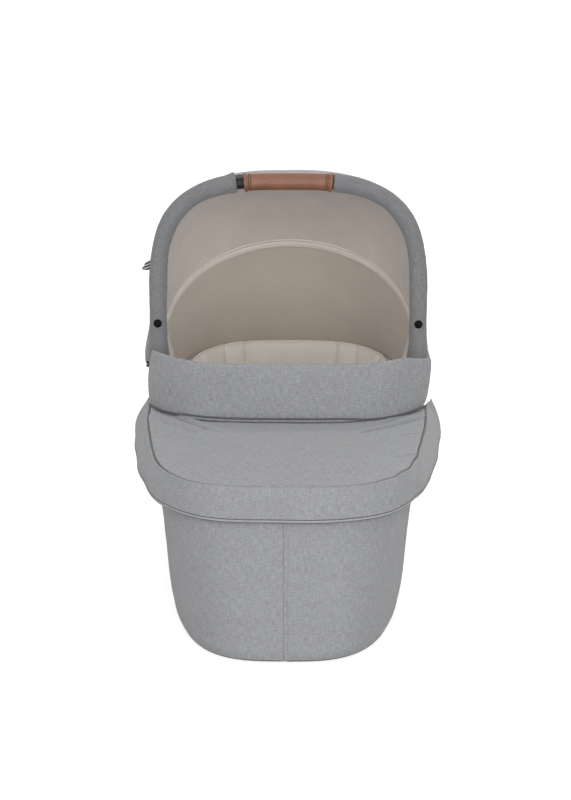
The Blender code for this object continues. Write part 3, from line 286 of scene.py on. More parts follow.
def solid_grid(name, grid, look, wrap_rows=False, wrap_columns=False, sharp=50.0):
    """A mesh over a grid of points, capped where the grid doesn't wrap."""
    grid = np.asarray(grid, float)
    rows, columns = grid.shape[:2]
    faces, places = quads(rows, columns, wrap_rows, wrap_columns)
    uv = grid_lengths(grid, wrap_rows, wrap_columns)
    index = np.arange(rows * columns).reshape(rows, columns)
    caps = []
    if wrap_columns and not wrap_rows:
        caps = [index[0, ::-1], index[-1]]
    elif wrap_rows and not wrap_columns:
        caps = [index[:, 0], index[::-1, -1]]
    corners = uv[places[..., 0], places[..., 1]].reshape(-1, 2)
    corners = np.concatenate([corners, np.zeros((sum(map(len, caps)), 2))])
    return finish_mesh(name, grid.reshape(-1, 3), [*faces, *caps], corners, look, sharp)


def grid_normals(grid, wrap_columns=False):
    if wrap_columns:
        across = (np.roll(grid, -1, axis=1) - np.roll(grid, 1, axis=1)) / 2
    else:
        across = np.gradient(grid, axis=1)
    normal = np.cross(np.gradient(grid, axis=0), across)
    return normal / np.maximum(np.linalg.norm(normal, axis=2, keepdims=True), 1e-12)


def grid_edges(rows, columns, wrap_columns):
    """The closed runs of points round a grid's open edges."""
    index = np.arange(rows * columns).reshape(rows, columns)
    if wrap_columns:
        return [index[0], index[-1, ::-1]]
    return [np.concatenate([index[0], index[1:, -1], index[-1, -2::-1], index[-2:0:-1, 0]])]


def cloth_grid(name, grid, look, thickness, wrap_columns=False):
    """A sheet of cloth with a front, a back and closed edges."""
    grid = np.asarray(grid, float)
    rows, columns = grid.shape[:2]
    half = grid_normals(grid, wrap_columns) * thickness / 2
    points = np.concatenate([(grid + half).reshape(-1, 3), (grid - half).reshape(-1, 3)])
    front, places = quads(rows, columns, False, wrap_columns)
    uv = grid_lengths(grid, False, wrap_columns)
    front_uv = uv[places[..., 0], places[..., 1]]
    flat_uv = uv[:rows, :columns].reshape(-1, 2)
    under = rows * columns
    faces, corners = [front[:, ::-1], front + under], [front_uv[:, ::-1], front_uv]
    for edge in grid_edges(rows, columns, wrap_columns):
        following = np.roll(edge, -1)
        faces.append(np.stack([edge, following, under + following, under + edge], axis=1))
        corners.append(flat_uv[np.stack([edge, following, following, edge], axis=1)])
    corners = np.concatenate(corners).reshape(-1, 2)
    return finish_mesh(name, points, np.concatenate(faces), corners, look, 70.0)


def frames_along(path, up, closed=False):
    """Tangent, sideways and upward directions at every point of a path."""
    path = np.asarray(path, float)
    if closed:
        tangent = np.roll(path, -1, axis=0) - np.roll(path, 1, axis=0)
    else:
        tangent = np.gradient(path, axis=0)
    tangent = unit(tangent)
    side = unit(np.cross(tangent, np.broadcast_to(np.asarray(up, float), tangent.shape)))
    return tangent, side, np.cross(side, tangent)


def section_grid(path, sections, up, closed=False):
    """Sections of (side, up) offsets carried along a path; rows run along it."""
    _, side, high = frames_along(path, up, closed)
    sections = np.broadcast_to(sections, (len(path), *np.shape(sections)[-2:]))
    return np.asarray(path)[:, None] + side[:, None] * sections[..., :1] + high[:, None] * sections[..., 1:]


def ring_section(radius, sides, across=1.0):
    angle = np.linspace(0.0, tau, sides, endpoint=False)
    return np.column_stack([radius * across * np.cos(angle), radius * np.sin(angle)])


def settle(piece, body, slot, *nodes):
    """Ride a body and stand for frame nodes; slot is not used."""
    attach(piece, body)
    if nodes:
        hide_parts(*nodes)
    return piece


CORD_END = np.arccos(1 - np.array([1.0, 0.8, 0.45]) * 0.999)


def cord(name, path, radius, look, body, slot, up=(0, 0, 1), sides=12, closed=False, across=1.0):
    """A round or flattened cord along a path, with domed ends where it is open."""
    path = np.asarray(path, float)
    scale = np.ones(len(path))
    if not closed:
        tangent = frames_along(path, up)[0]
        reach = radius * np.sin(CORD_END)[:, None]
        taper = np.maximum(np.cos(CORD_END), 0.02)
        path = np.vstack([path[0] - tangent[0] * reach, path, path[-1] + tangent[-1] * reach[::-1]])
        scale = np.concatenate([taper, scale, taper[::-1]])
    sections = ring_section(radius, sides, across) * scale[:, None, None]
    grid = section_grid(path, sections, up, closed)
    return settle(solid_grid(name, grid, look, wrap_rows=closed, wrap_columns=True), body, slot)


def round_cord(name, line, radius, look, slot, count=CORD_POINTS):
    """A closed cord that runs round the cot."""
    return cord(name, even(line, count, True), radius, look, "cot", slot, closed=True)


def turned(name, profile, place, axis, look, sides=64):
    """A round piece: profile is a run of (distance along the axis, radius) from one end to the other."""
    axis = Vector(axis).normalized()
    across = axis.orthogonal().normalized()
    angle = np.linspace(0.0, tau, sides, endpoint=False)
    around = np.outer(np.cos(angle), across) + np.outer(np.sin(angle), axis.cross(across))
    grid = [np.asarray(place) + np.asarray(axis) * along + around * radius for along, radius in profile]
    return solid_grid(name, grid, look, wrap_columns=True, sharp=40.0)


STITCH_PITCH = 0.0045
STITCH_LENGTH = 0.003
STITCH_RADIUS = 0.00035
STITCH_SUNK = 0.6
STITCH_SIDES = 6
STITCH_SHAPE = ((-0.5, 0.25), (-0.36, 0.85), (0.0, 1.15), (0.36, 0.85), (0.5, 0.25))


def stitch_line(name, path, outward, look):
    """A run of sewn stitches on the cot that lie on a path, each raised a little along outward."""
    line, lengths = running(path)
    outward = np.broadcast_to(np.asarray(outward, float), line.shape)
    count = max(int(lengths[-1] / STITCH_PITCH), 1)
    shares, scales = np.array(STITCH_SHAPE).T
    middles = (np.arange(count) + 0.5) * lengths[-1] / count
    places = middles[:, None] + shares * STITCH_LENGTH
    normals = values_at(places, lengths, outward)
    spots = values_at(places, lengths, line) + normals * STITCH_RADIUS * (scales[:, None] - STITCH_SUNK)
    side = np.cross(unit(spots[:, -1:] - spots[:, :1]), normals)[:, :, None]
    turn = np.linspace(0, tau, STITCH_SIDES, endpoint=False)[:, None]
    around = side * np.cos(turn) + normals[:, :, None] * np.sin(turn)
    points = (spots[:, :, None] + around * (STITCH_RADIUS * scales)[:, None, None]).reshape(-1, 3)
    size = len(STITCH_SHAPE) * STITCH_SIDES
    last = np.arange(size - 1, size - STITCH_SIDES - 1, -1)
    shell = [*quads(len(STITCH_SHAPE), STITCH_SIDES, False, True)[0][:, ::-1], np.arange(STITCH_SIDES), last]
    faces = [face + first for first in range(0, len(points), size) for face in shell]
    stitches = finish_mesh(name, points, faces, points[np.concatenate(faces)][:, ::2], look, 80.0)
    settle(stitches, "cot", "cover_cloth")


def rough(points, scale, seed=0.0):
    """Smooth repeatable noise in -1..1 at every point."""
    flat = np.asarray(points, float).reshape(-1, 3) * scale + seed
    values = [noise.noise(Vector(p)) for p in flat]
    return np.asarray(values).reshape(np.asarray(points).shape[:-1])


def waves(points, table):
    """Uneven cloth: the sum of noises given as (stretch, scale, seed, depth)."""
    return sum(rough(points * stretch, scale, seed) * depth for stretch, scale, seed, depth in table)


def mesh_points(piece):
    values = np.zeros(len(piece.data.vertices) * 3, np.float32)
    piece.data.vertices.foreach_get("co", values)
    return values.reshape(-1, 3)


def set_texture(piece, places):
    """Give every corner of the faces the texture place of its point, in metres."""
    loops = np.zeros(len(piece.data.loops), np.int32)
    piece.data.loops.foreach_get("vertex_index", loops)
    piece.data.uv_layers[0].data.foreach_set("uv", places[loops].astype(np.float32).ravel())


SIMULATED_FRAMES = 20
AIR_PRESSURE = 4.0
AIR_QUALITY = 4
GRIP_LEVELS = 10


def fill_with_air(piece, grip, limit):
    """Fill a padded piece with air as simulated cloth and keep the shape it takes.

    grip is how firmly the seams hold each point, from 0 to 1, and no point moves further than limit.
    """
    start = mesh_points(piece)
    held = piece.vertex_groups.new(name="held")
    for level in range(1, GRIP_LEVELS + 1):
        chosen = np.flatnonzero(np.round(grip * GRIP_LEVELS) == level)
        held.add(chosen.tolist(), level / GRIP_LEVELS, "REPLACE")
    air = piece.modifiers.new("air", "CLOTH")
    air.collision_settings.use_collision = False
    air.settings.vertex_group_mass = "held"
    air.settings.use_pressure = True
    air.settings.uniform_pressure_force = AIR_PRESSURE
    air.settings.effector_weights.gravity = 0.0
    air.settings.quality = AIR_QUALITY
    air.point_cache.frame_start = 1
    air.point_cache.frame_end = SIMULATED_FRAMES
    for number in range(1, SIMULATED_FRAMES + 1):
        bpy.context.scene.frame_set(number)
    moved = mesh_points(piece.evaluated_get(bpy.context.evaluated_depsgraph_get())) - start
    piece.modifiers.remove(air)
    piece.vertex_groups.remove(held)
    bpy.context.scene.frame_set(1)
    far = np.linalg.norm(moved, axis=1, keepdims=True)
    moved *= np.tanh(far / limit) * limit / np.maximum(far, 1e-9)
    piece.data.vertices.foreach_set("co", (start + moved).ravel())
    piece.data.update()


class Nodes:
    """A node tree that is filled node by node."""

    def __init__(self, owner):
        owner.use_nodes = True
        self.tree = owner.node_tree

    def node(self, kind, **inputs):
        """A node with sockets set by name, or by number as i0, i1, and properties as set_name."""
        made = self.tree.nodes.new(kind)
        for key, value in inputs.items():
            if key.startswith("set_"):
                setattr(made, key[4:], value)
                continue
            socket = made.inputs[int(key[1:])] if key[0] == "i" and key[1:].isdigit() else made.inputs[key]
            if isinstance(value, bpy.types.NodeSocket):
                self.tree.links.new(value, socket)
            else:
                socket.default_value = value
        return made

    def math(self, operation, *values):
        sockets = {"i%d" % number: value for number, value in enumerate(values)}
        return self.node("ShaderNodeMath", set_operation=operation, **sockets).outputs[0]

    def ray(self, *kinds):
        """1 for rays of either of two kinds."""
        rays = self.node("ShaderNodeLightPath").outputs
        return self.math("MAXIMUM", *(rays["Is %s Ray" % kind] for kind in kinds))


class Finish(Nodes):
    """A procedural material built on one shader."""

    def __init__(self, name, roughness, metallic=0.0, **sockets):
        self.material = bpy.data.materials.new(name)
        super().__init__(self.material)
        self.shader = self.tree.nodes["Principled BSDF"]
        for socket, value in {"Roughness": roughness, "Metallic": metallic, **sockets}.items():
            self.shader.inputs[socket.replace("_", " ")].default_value = value

    def place(self, kind="UV"):
        return self.node("ShaderNodeTexCoord").outputs[kind]

    def parts(self):
        """Texture places across and down the cloth."""
        return self.node("ShaderNodeSeparateXYZ", Vector=self.place()).outputs

    def scaled(self, vector, scale):
        return self.node("ShaderNodeMapping", Vector=vector, Scale=scale).outputs["Vector"]

    def stripes(self, value, pitch):
        return self.math("SINE", self.math("MULTIPLY", value, tau / pitch))

    def weave(self, pitch):
        """Height of a plain weave."""
        parts = self.parts()
        return self.math("MULTIPLY", self.stripes(parts["X"], pitch), self.stripes(parts["Y"], pitch))

    def cloud(self, vector, scale, detail=3.0, roughness=0.6):
        made = self.node("ShaderNodeTexNoise", Vector=vector, Scale=scale, Detail=detail, Roughness=roughness)
        return made.outputs["Fac"]

    def ramp(self, value, *stops):
        made = self.node("ShaderNodeValToRGB", Fac=value)
        points = made.color_ramp.elements
        while len(points) < len(stops):
            points.new(0.5)
        for point, (place, colour) in zip(points, stops):
            point.position = place
            point.color = (*colour, 1.0)
        return made.outputs["Color"]

    def multiply(self, a, b):
        made = self.node("ShaderNodeMix", set_data_type="RGBA", set_blend_type="MULTIPLY", i0=1.0, i6=a, i7=b)
        return made.outputs[2]

    def between(self, value, low, high):
        """The middle of a cloud's range spread from low to high."""
        return self.node("ShaderNodeMapRange", Value=value, i1=0.3, i2=0.7, i3=low, i4=high).outputs[0]

    def bump(self, height, strength, distance, **under):
        made = self.node("ShaderNodeBump", Height=height, Strength=strength, Distance=distance, **under)
        return made.outputs["Normal"]

    def paint(self, colour, normal, roughness=None):
        for name, socket in (("Base Color", colour), ("Normal", normal), ("Roughness", roughness)):
            if socket is not None:
                self.tree.links.new(socket, self.shader.inputs[name])
        return self.material


def srgb(red, green, blue):
    """A colour given as 0..255 values, as linear light."""
    values = []
    for value in (red, green, blue):
        value /= 255.0
        values.append(value / 12.92 if value <= 0.04045 else ((value + 0.055) / 1.055) ** 2.4)
    return tuple(values)


def shade(colour, factor):
    return tuple(min(value * factor, 1.0) for value in colour)


def grey(value):
    return (value,) * 3


WEFT_STRETCH = (105.0, 720.0, 1.0)
WARP_STRETCH = (720.0, 75.0, 1.0)


def cloth_finish(name, colour, pitch, streak, mottle, depth=0.35):
    """A woven cloth: threads with painted shade in the gaps between them, short darker and lighter streaks
    both ways, and soft mottling.
    """
    finish = Finish(name, 0.9, Sheen_Weight=0.25, Sheen_Roughness=0.5, Specular_IOR_Level=0.25)
    place = finish.place()
    ways = (finish.scaled(place, stretch) for stretch in (WEFT_STRETCH, WARP_STRETCH))
    weft, warp = (finish.cloud(way, 1.0, 4.0, 0.65) for way in ways)
    streaks = finish.math("MULTIPLY", finish.math("ADD", weft, warp), 0.5)
    threads = finish.weave(pitch)
    pale, dark = shade(colour, 1 + streak), shade(colour, 1 - streak)
    light = finish.ramp(streaks, (0.38, dark), (0.5, colour), (0.62, pale))
    tone = finish.ramp(finish.cloud(place, 22.0, 3.0, 0.55), (0.3, grey(1 - mottle)), (0.7, grey(1.0)))
    # Painted shade: the cloth is darker where the threads dip.
    gap_shade = finish.ramp(finish.math("MULTIPLY_ADD", threads, 0.5, 0.5), (0.0, grey(0.90)), (0.5, grey(1.0)))
    woven = finish.multiply(finish.multiply(light, tone), gap_shade)
    return finish.paint(woven, finish.bump(streaks, 0.5, 0.0006, Normal=finish.bump(threads, depth, 0.0002)))


def thread_finish(name, *colour):
    return cloth_finish(name, srgb(*colour), 0.0004, 0.05, 0.02)


def leather_finish(name, colour):
    """Brown leather with a fine grain, darker streaks along the grip and worn patches."""
    finish = Finish(name, 0.5, Coat_Weight=0.08, Coat_Roughness=0.35)
    place = finish.place("Object")
    grain = finish.node("ShaderNodeTexVoronoi", Vector=place, Scale=950.0, set_feature="DISTANCE_TO_EDGE")
    creases = finish.ramp(grain.outputs["Distance"], (0.0, grey(0.0)), (0.18, grey(1.0)))
    along = finish.cloud(finish.scaled(place, (45.0, 260.0, 260.0)), 1.0, 5.0, 0.65)
    tint = finish.ramp(along, (0.3, shade(colour, 0.82)), (0.52, colour), (0.75, shade(colour, 1.2)))
    worn = finish.ramp(finish.cloud(place, 38.0, 3.0, 0.5), (0.35, grey(0.86)), (0.7, grey(1.08)))
    normal = finish.bump(creases, 0.35, 0.0002, Normal=finish.bump(along, 0.25, 0.0008))
    return finish.paint(finish.multiply(tint, worn), normal, finish.between(along, 0.40, 0.58))


def plastic_finish(name, colour, roughness=0.42, grain=1400.0, shine=0.5):
    """Moulded plastic with a fine spark-eroded texture and a little uneven gloss."""
    finish = Finish(name, roughness, Specular_IOR_Level=shine)
    place = finish.place("Object")
    broad = finish.cloud(place, 30.0, 3.0, 0.5)
    tint = finish.ramp(broad, (0.3, shade(colour, 0.85)), (0.7, shade(colour, 1.2)))
    gloss = finish.between(broad, roughness - 0.05, roughness + 0.07)
    return finish.paint(tint, finish.bump(finish.cloud(place, grain, 2.0, 0.6), 0.3, 0.0001), gloss)


def steel_finish(name, colour):
    """Drawn steel with fine lines."""
    finish = Finish(name, 0.35, 1.0)
    lines = finish.cloud(finish.scaled(finish.place("Object"), (60.0, 60.0, 900.0)), 1.0, 3.0, 0.6)
    tint = finish.ramp(lines, (0.3, shade(colour, 0.85)), (0.7, shade(colour, 1.1)))
    return finish.paint(tint, finish.bump(lines, 0.2, 0.0001), finish.between(lines, 0.25, 0.42))


def board_finish(name, colour):
    """Pressed board with flat chips."""
    finish = Finish(name, 0.85)
    place = finish.scaled(finish.place("Object"), (300.0, 420.0, 300.0))
    chips = finish.node("ShaderNodeTexVoronoi", Vector=place, Scale=1.0).outputs["Distance"]
    tint = finish.ramp(chips, (0.1, shade(colour, 0.8)), (0.8, shade(colour, 1.15)))
    return finish.paint(tint, finish.bump(chips, 0.3, 0.0002))


def knit_finish(name, colour, pitch=0.0016):
    """A soft knit with columns of small loops."""
    finish = Finish(name, 0.92, Sheen_Weight=0.2, Sheen_Roughness=0.5, Specular_IOR_Level=0.2)
    parts = finish.parts()
    column = finish.stripes(parts["X"], pitch)
    slope = finish.math("MULTIPLY", finish.math("ABSOLUTE", column), 0.9)
    row = finish.math("SINE", finish.math("ADD", finish.math("MULTIPLY", parts["Y"], tau / pitch), slope))
    loops = finish.math("MULTIPLY", finish.math("ADD", column, row), 0.5)
    soft = finish.cloud(finish.place(), 30.0, 3.0, 0.5)
    tint = finish.ramp(soft, (0.3, shade(colour, 0.95)), (0.7, shade(colour, 1.03)))
    return finish.paint(tint, finish.bump(loops, 0.35, 0.0003))


def tag_finish(name, dark, pale):
    """Plain pale stripes woven across a dark ribbon."""
    finish = Finish(name, 0.85)
    wave = finish.math("MULTIPLY_ADD", finish.stripes(finish.parts()["Y"], 0.0046), 0.5, 0.5)
    stripes = finish.ramp(wave, (0.66, dark), (0.78, pale))
    return finish.paint(stripes, finish.bump(finish.weave(0.0006), 0.4, 0.0002))


GREY = srgb(151, 152, 154)
PIPING_WEAVE = (0.0006, 0.03, 0.02, 0.2)

grey_cloth = cloth_finish("grey_cloth", GREY, 0.0009, 0.23, 0.05)
# A darker copy of the grey cloth: painted shade on the flap. The rim binding takes it as its darker grey.
flap_cloth = cloth_finish("flap_cloth", shade(GREY, 0.94), 0.0009, 0.27, 0.07)
sleeve_cloth = cloth_finish("sleeve_cloth", srgb(122, 123, 125), 0.0009, 0.22, 0.06)
# A lighter copy of the grey cloth: painted highlight on the rolled hem.
hem_cloth = cloth_finish("hem_cloth", shade(GREY, 1.12), 0.0007, 0.06, 0.02)
lining_cloth = cloth_finish("lining_cloth", srgb(203, 192, 182), 0.0006, 0.03, 0.05, 0.2)
# A lighter copy of the lining cloth: painted light on the front lining, beside the bow.
pale_lining = cloth_finish("pale_lining", srgb(213, 204, 197), 0.0006, 0.03, 0.06, 0.2)
band_cloth = cloth_finish("band_cloth", srgb(226, 217, 209), *PIPING_WEAVE)
# A lighter copy of the band cloth: painted light on the lining's hem, the liner's crest piping and its
# facings.
pale_piping = cloth_finish("pale_piping", srgb(238, 230, 221), *PIPING_WEAVE)
liner_cloth = cloth_finish("liner_cloth", srgb(244, 240, 233), 0.0007, 0.03, 0.03, 0.25)
mattress_cloth = knit_finish("mattress_cloth", srgb(205, 201, 196))
# Dark grey piping cloth, also used for cords of painted shade and shadow at the skirt's hem and the flap's
# foot.
dark_piping = cloth_finish("dark_piping", srgb(92, 93, 96), 0.0007, 0.10, 0.05)
pale_thread = thread_finish("pale_thread", 150, 150, 150)
grey_thread = thread_finish("grey_thread", 112, 113, 116)
beige_thread = thread_finish("beige_thread", 150, 142, 135)
brown_thread = thread_finish("brown_thread", 70, 43, 32)
leather = leather_finish("grip_leather", srgb(131, 88, 67))
plastic = plastic_finish("black_plastic", srgb(36, 38, 40))
stud_black = plastic_finish("stud_black", srgb(10, 10, 11), 0.32, shine=0.10)
tube_black = plastic_finish("black_tube", srgb(26, 29, 28), 0.50, 700.0, 0.3)
steel = steel_finish("steel", (0.55, 0.55, 0.56))
board = board_finish("board", srgb(120, 116, 110))
tag_cloth = tag_finish("tag_cloth", srgb(38, 38, 40), srgb(205, 205, 205))


# Cover: a lapped seam down the middle of each end
COVER_SEAMS = {"head": 0.25, "foot": 0.75}
COVER_THICKNESS = 0.0016
COVER_ROWS = (0.0034, 0.0042, 0.0056, 0.008, 0.011, *np.linspace(0.015, RIM_HEIGHT - 0.0008, 62))
COVER_TOE = 0.0022
COVER_PUFF = 0.0010
COVER_WAVES = (((1, 1, 0.6), 9.0, 3.1, 0.0016), ((1, 1, 2.2), 21.0, 8.2, 0.0006))
SEAM_DEPTH = 0.0011
LAP_WIDTH = 0.0070
LAP_HEIGHT = 0.0007
LAP_STITCHES = (0.0020, 0.0062)
# Millimetres from a seam at which the cover has a column of points
SEAM_COLUMNS = np.array([
    -8, -5, -3, -2, -1.4, -1, -0.7, -0.4, 0, 0.4, 0.7, 1, 1.5, 2.5, 4, 6, 7, 7.6, 8.2, 9, 11, 14,
])


def seam_relief(away):
    """Height of a lapped seam: a groove, and beside it a raised lap that is sewn down twice."""
    lap = LAP_HEIGHT * rising(away, 0.0008) * falling(away, 0.0012, LAP_WIDTH)
    sewn = sum(0.0005 * bell(away - place, 0.0005) for place in LAP_STITCHES)
    return lap - SEAM_DEPTH * bell(away, 0.0007) - sewn


def cover_grid(shares, away):
    grid = []
    for height in COVER_ROWS:
        line = wall_line(height, COVER_TOE * falling(height, 0.020, 0.012), shares)
        level = sin(pi * min(height / RIM_HEIGHT, 1.0))
        uneven = COVER_PUFF * (1 - bell(away, 0.045)) + waves(line, COVER_WAVES)
        line[:, :2] += unit(line[:, :2]) * (seam_relief(away) + uneven * level)[:, None]
        grid.append(line)
    return np.array(grid)


def build_cover():
    """The body's cover with its end seams, stitching and a dark cord round its foot at the floor."""
    perimeter = long_of(superellipse(*wall_sizes(RIM_HEIGHT / 2)), True)
    centres = np.array(list(COVER_SEAMS.values()))[:, None]
    close_set = (centres + SEAM_COLUMNS * 0.001 / perimeter) % 1.0
    shares = np.unique(np.round(np.concatenate([round_shares(WALL_COLUMNS), close_set.ravel()]), 6))
    from_seam = ((shares - centres + 0.5) % 1.0 - 0.5) * perimeter
    grid = cover_grid(shares, from_seam[np.abs(from_seam).argmin(axis=0), np.arange(len(shares))])
    cover = cloth_grid("body_cover_cloth", grid, grey_cloth, COVER_THICKNESS, True)
    settle(cover, "cot", "cover_cloth", "body_cover")
    for name, centre in COVER_SEAMS.items():
        out = np.array([0.0, 1.0 if name == "head" else -1.0, 0.0])
        groove = grid[3:-3, np.abs(shares - centre).argmin()]
        sewn = grid[3:-3, np.abs(shares - centre - LAP_STITCHES[1] / perimeter).argmin()]
        groove = groove + out * 0.0010
        cord("cover_seam_" + name, groove, THREAD_RADIUS, dark_piping, "cot", "cover_cloth", (1, 0, 0), 8)
        stitch_line("cover_stitching_" + name, sewn + out * 0.0011, out, pale_thread)
    foot = grid[0] + [0, 0, 0.0002]
    # A dark cord round the foot of the cover.
    edge = round_cord("cover_foot_binding", foot, 0.0013, dark_piping, "dark_piping", PIPING_POINTS)


# Rim binding as (outset, rise) from the rim, up the outside, over the top and back inside
RIM_PROFILE = (
    (0.0012, -0.0150), (0.0022, -0.0146), (0.0024, -0.0060), (0.0022, -0.0012), (0.0010, 0.0014),
    (-0.0015, 0.0028), (-0.0055, 0.0032), (-0.0092, 0.0028), (-0.0112, 0.0014), (-0.0116, -0.0002),
    (-0.0108, -0.0004), (-0.0085, 0.0010), (-0.0040, 0.0014), (0.0002, 0.0002), (0.0010, -0.0030),
)
RIM_STITCHES = (0.0026, -0.0125)


def build_rim():
    """A bound edge that folds over the top of the wall, stitched near its lower edge."""
    shares = round_shares(WALL_COLUMNS)
    grid = [wall_line(RIM_HEIGHT, outset, shares) + [0, 0, rise] for outset, rise in RIM_PROFILE]
    binding = solid_grid("rim_binding", grid, flap_cloth, wrap_rows=True, wrap_columns=True)
    settle(binding, "cot", "dark_piping", "rim_trim")
    line = wall_line(RIM_HEIGHT, RIM_STITCHES[0], round_shares(STITCHING_POINTS)) + [0, 0, RIM_STITCHES[1]]
    stitch_line("rim_stitching", line, unit(line * [1, 1, 0]), grey_thread)


# Liner: distances of its channels from the middle of the head end, and its section as shares of its
# thickness and height, up the back and then over the crest and down the front
LINER_SEAMS = np.array([0.0835, 0.1265, *np.arange(0.200, 0.9, 0.075), 0.95, 1.02])
LINER_BACK = ((0.0, 0.0), (0.0, 0.25), (0.0, 0.5), (0.0, 0.75), (0.0, 0.92), (0.10, 0.975), (0.28, 1.0))
LINER_FRONT = (
    (0.5, 1.005), (0.72, 1.0), (0.90, 0.985), (1.0, 0.96),
    *((1.0 + 0.12 * sin(pi * k / 15), 0.96 - 0.96 * k / 15) for k in range(1, 15)), (0.9, 0.0),
)
LINER_INSET = 0.0190
LINER_THICKNESS = 0.013
LINER_LOW = PAN_HEIGHT + 0.0006
LINER_SIDE_TOP = RIM_HEIGHT - 0.006
LINER_HEAD_RISE = 0.016
LINER_PUFF = 0.0032
CHANNEL_DEPTH = 0.0040
CREST_DIP = 0.022
LINER_AIR_LIMIT = 0.0040


def liner_ring(shares, depth_share, height_share):
    """One ring of the liner, and the distance of its points from the nearest channel."""
    height = LINER_LOW + (LINER_SIDE_TOP - LINER_LOW) * height_share
    half_width, half_length, power = wall_sizes(height, -LINER_INSET)
    line = at_shares(superellipse(half_width, half_length, power), shares, True)
    from_head = np.abs((shares + 0.25) % 1.0 - 0.5) * long_of(line, True)
    away = np.min(np.abs(from_head[:, None] - LINER_SEAMS), axis=1)
    depth = LINER_THICKNESS * depth_share
    if depth_share >= 0.5:
        puff = (LINER_PUFF * (1 - bell(away, 0.010)) - CHANNEL_DEPTH * bell(away, 0.0035)) * depth_share
        depth = depth + puff + 0.0010 * rough(with_height(line, height), 26.0, 1.7)
    spread = np.column_stack([1 - depth / half_width, 1 - depth / half_length])
    head = rising(line[:, 1] / RIM_HALF_LENGTH, 0.46, 0.26)
    rise = LINER_HEAD_RISE * head * height_share ** 2
    if depth_share > 0.2:
        rise = rise - CREST_DIP * bell(away, 0.004) * max(height_share - 0.9, 0)
    return with_height(line * spread, height + rise), away


def build_liner():
    """A quilted ring round the inside: padded between sewn channels, higher at the head end."""
    shares = round_shares(LINER_COLUMNS)
    rings = [liner_ring(shares, *place) for place in LINER_BACK + LINER_FRONT]
    grid = np.array([ring for ring, _ in rings])
    liner = solid_grid("quilted_liner", grid, liner_cloth, wrap_rows=True, wrap_columns=True)
    depth, height = np.array(LINER_BACK + LINER_FRONT).T[..., None]
    channels = np.clip(1.25 * bell(rings[-1][1], 0.0030), 0, 1)
    edges = np.maximum(falling(depth, 0.3, 0.5), falling(height, 0.06))
    grip = np.maximum(channels, np.maximum(edges, bell(height - 1.0, 0.02)))
    fill_with_air(liner, grip.ravel(), LINER_AIR_LIMIT)
    settle(liner, "cot", "liner_cloth", "liner")
    crest = grid[len(LINER_BACK)] + [0, 0, 0.0009]
    # The crest piping is painted lighter than the band cloth: a painted highlight.
    round_cord("liner_top_piping", crest, 0.0024, pale_piping, "liner_cloth")
    # A thin darker cord just outside and above the crest piping: painted shadow in the gap above it.
    outset = 0.0028 / crest.max(axis=0)
    seam = crest * [1 + outset[0], 1 + outset[1], 1] + [0, 0, 0.0008]
    round_cord("liner_top_seam", seam, 0.0010, beige_thread, "liner_cloth")
    build_facing(crest, shares)


FACING_CLEAR = 0.032


def build_facing(crest, shares):
    """The strips of lining cloth between the rim and the liner's crest, round the head and the foot."""
    rim = wall_line(RIM_HEIGHT, -0.0108, shares) + [0, 0, 0.0018]
    middle = len(shares) // 2
    for end, chosen, swell in (
        ("head", np.flatnonzero(rim[:, 1] > PIVOT_Y + FACING_CLEAR), 0.0022),
        ("foot", middle + np.flatnonzero(rim[middle:, 1] < PIVOT_Y - FACING_CLEAR), 0.0006),
    ):
        edge, top = rim[chosen], crest[chosen] + [0, 0, 0.0002]
        count = np.arange(len(chosen))
        swell = swell + 0.0007 * np.sin(count * 0.9) + 0.0006 * np.sin(count * 0.37 + 1)
        grid = []
        for share in np.linspace(0, 1, 9):
            row = edge + (top - edge) * share
            row[:, 2] += swell * sin(pi * share)
            grid.append(row)
        # The facings take the lighter band cloth: painted light.
        facing = settle(cloth_grid("liner_facing_" + end, grid, pale_piping, 0.0010), "cot", "lining_cloth")


MATTRESS_HEIGHT = 0.034
MATTRESS_CROWN = 0.006
MATTRESS_ROUNDING = 0.007
MATTRESS_INSET = LINER_INSET + LINER_THICKNESS * 1.12 + 0.005
DIAMOND = 0.09
# Side of the mattress as shares of its rounding and height
MATTRESS_SIDE = (
    (1.0, 0.0), (0.55, 0.06), (0.25, 0.15), (0.05, 0.32), (0.0, 0.5),
    (0.05, 0.68), (0.25, 0.85), (0.55, 0.94), (1.0, 1.0),
)


def build_mattress():
    """A knitted mattress with diamond quilting and a piped edge above and below."""
    half_width, half_length, power = wall_sizes(PAN_HEIGHT, -MATTRESS_INSET)
    shares = round_shares(MATTRESS_COLUMNS)

    def outline(pull, scale=1.0):
        line = superellipse((half_width - pull) * scale, (half_length - pull) * scale, power)
        return at_shares(line, shares, True)

    grid = []
    for pull, share in MATTRESS_SIDE:
        grid.append(with_height(outline(MATTRESS_ROUNDING * pull), MATTRESS_LOW + MATTRESS_HEIGHT * share))
    for scale in np.linspace(0.96, 0.03, 26):
        plan = outline(MATTRESS_ROUNDING, scale)
        ridges = np.cos(tau * plan.sum(axis=1) / DIAMOND) * np.cos(tau * (plan[:, 0] - plan[:, 1]) / DIAMOND)
        quilting = 0.0022 * (1 - np.abs(ridges)) ** 3 * rising(1 - scale, 0.1)
        height = MATTRESS_LOW + MATTRESS_HEIGHT + MATTRESS_CROWN * (1 - scale ** 2)
        grid.append(with_height(plan, height - quilting))
    pad = solid_grid("mattress_pad", grid, mattress_cloth, wrap_columns=True)
    set_texture(pad, mesh_points(pad)[:, :2])
    settle(pad, "cot", "mattress_cloth", "mattress")
    for name, ring in (("lower", grid[0]), ("upper", grid[len(MATTRESS_SIDE) - 1])):
        round_cord("mattress_piping_" + name, ring, 0.0016, band_cloth, "mattress_cloth", PIPING_POINTS)


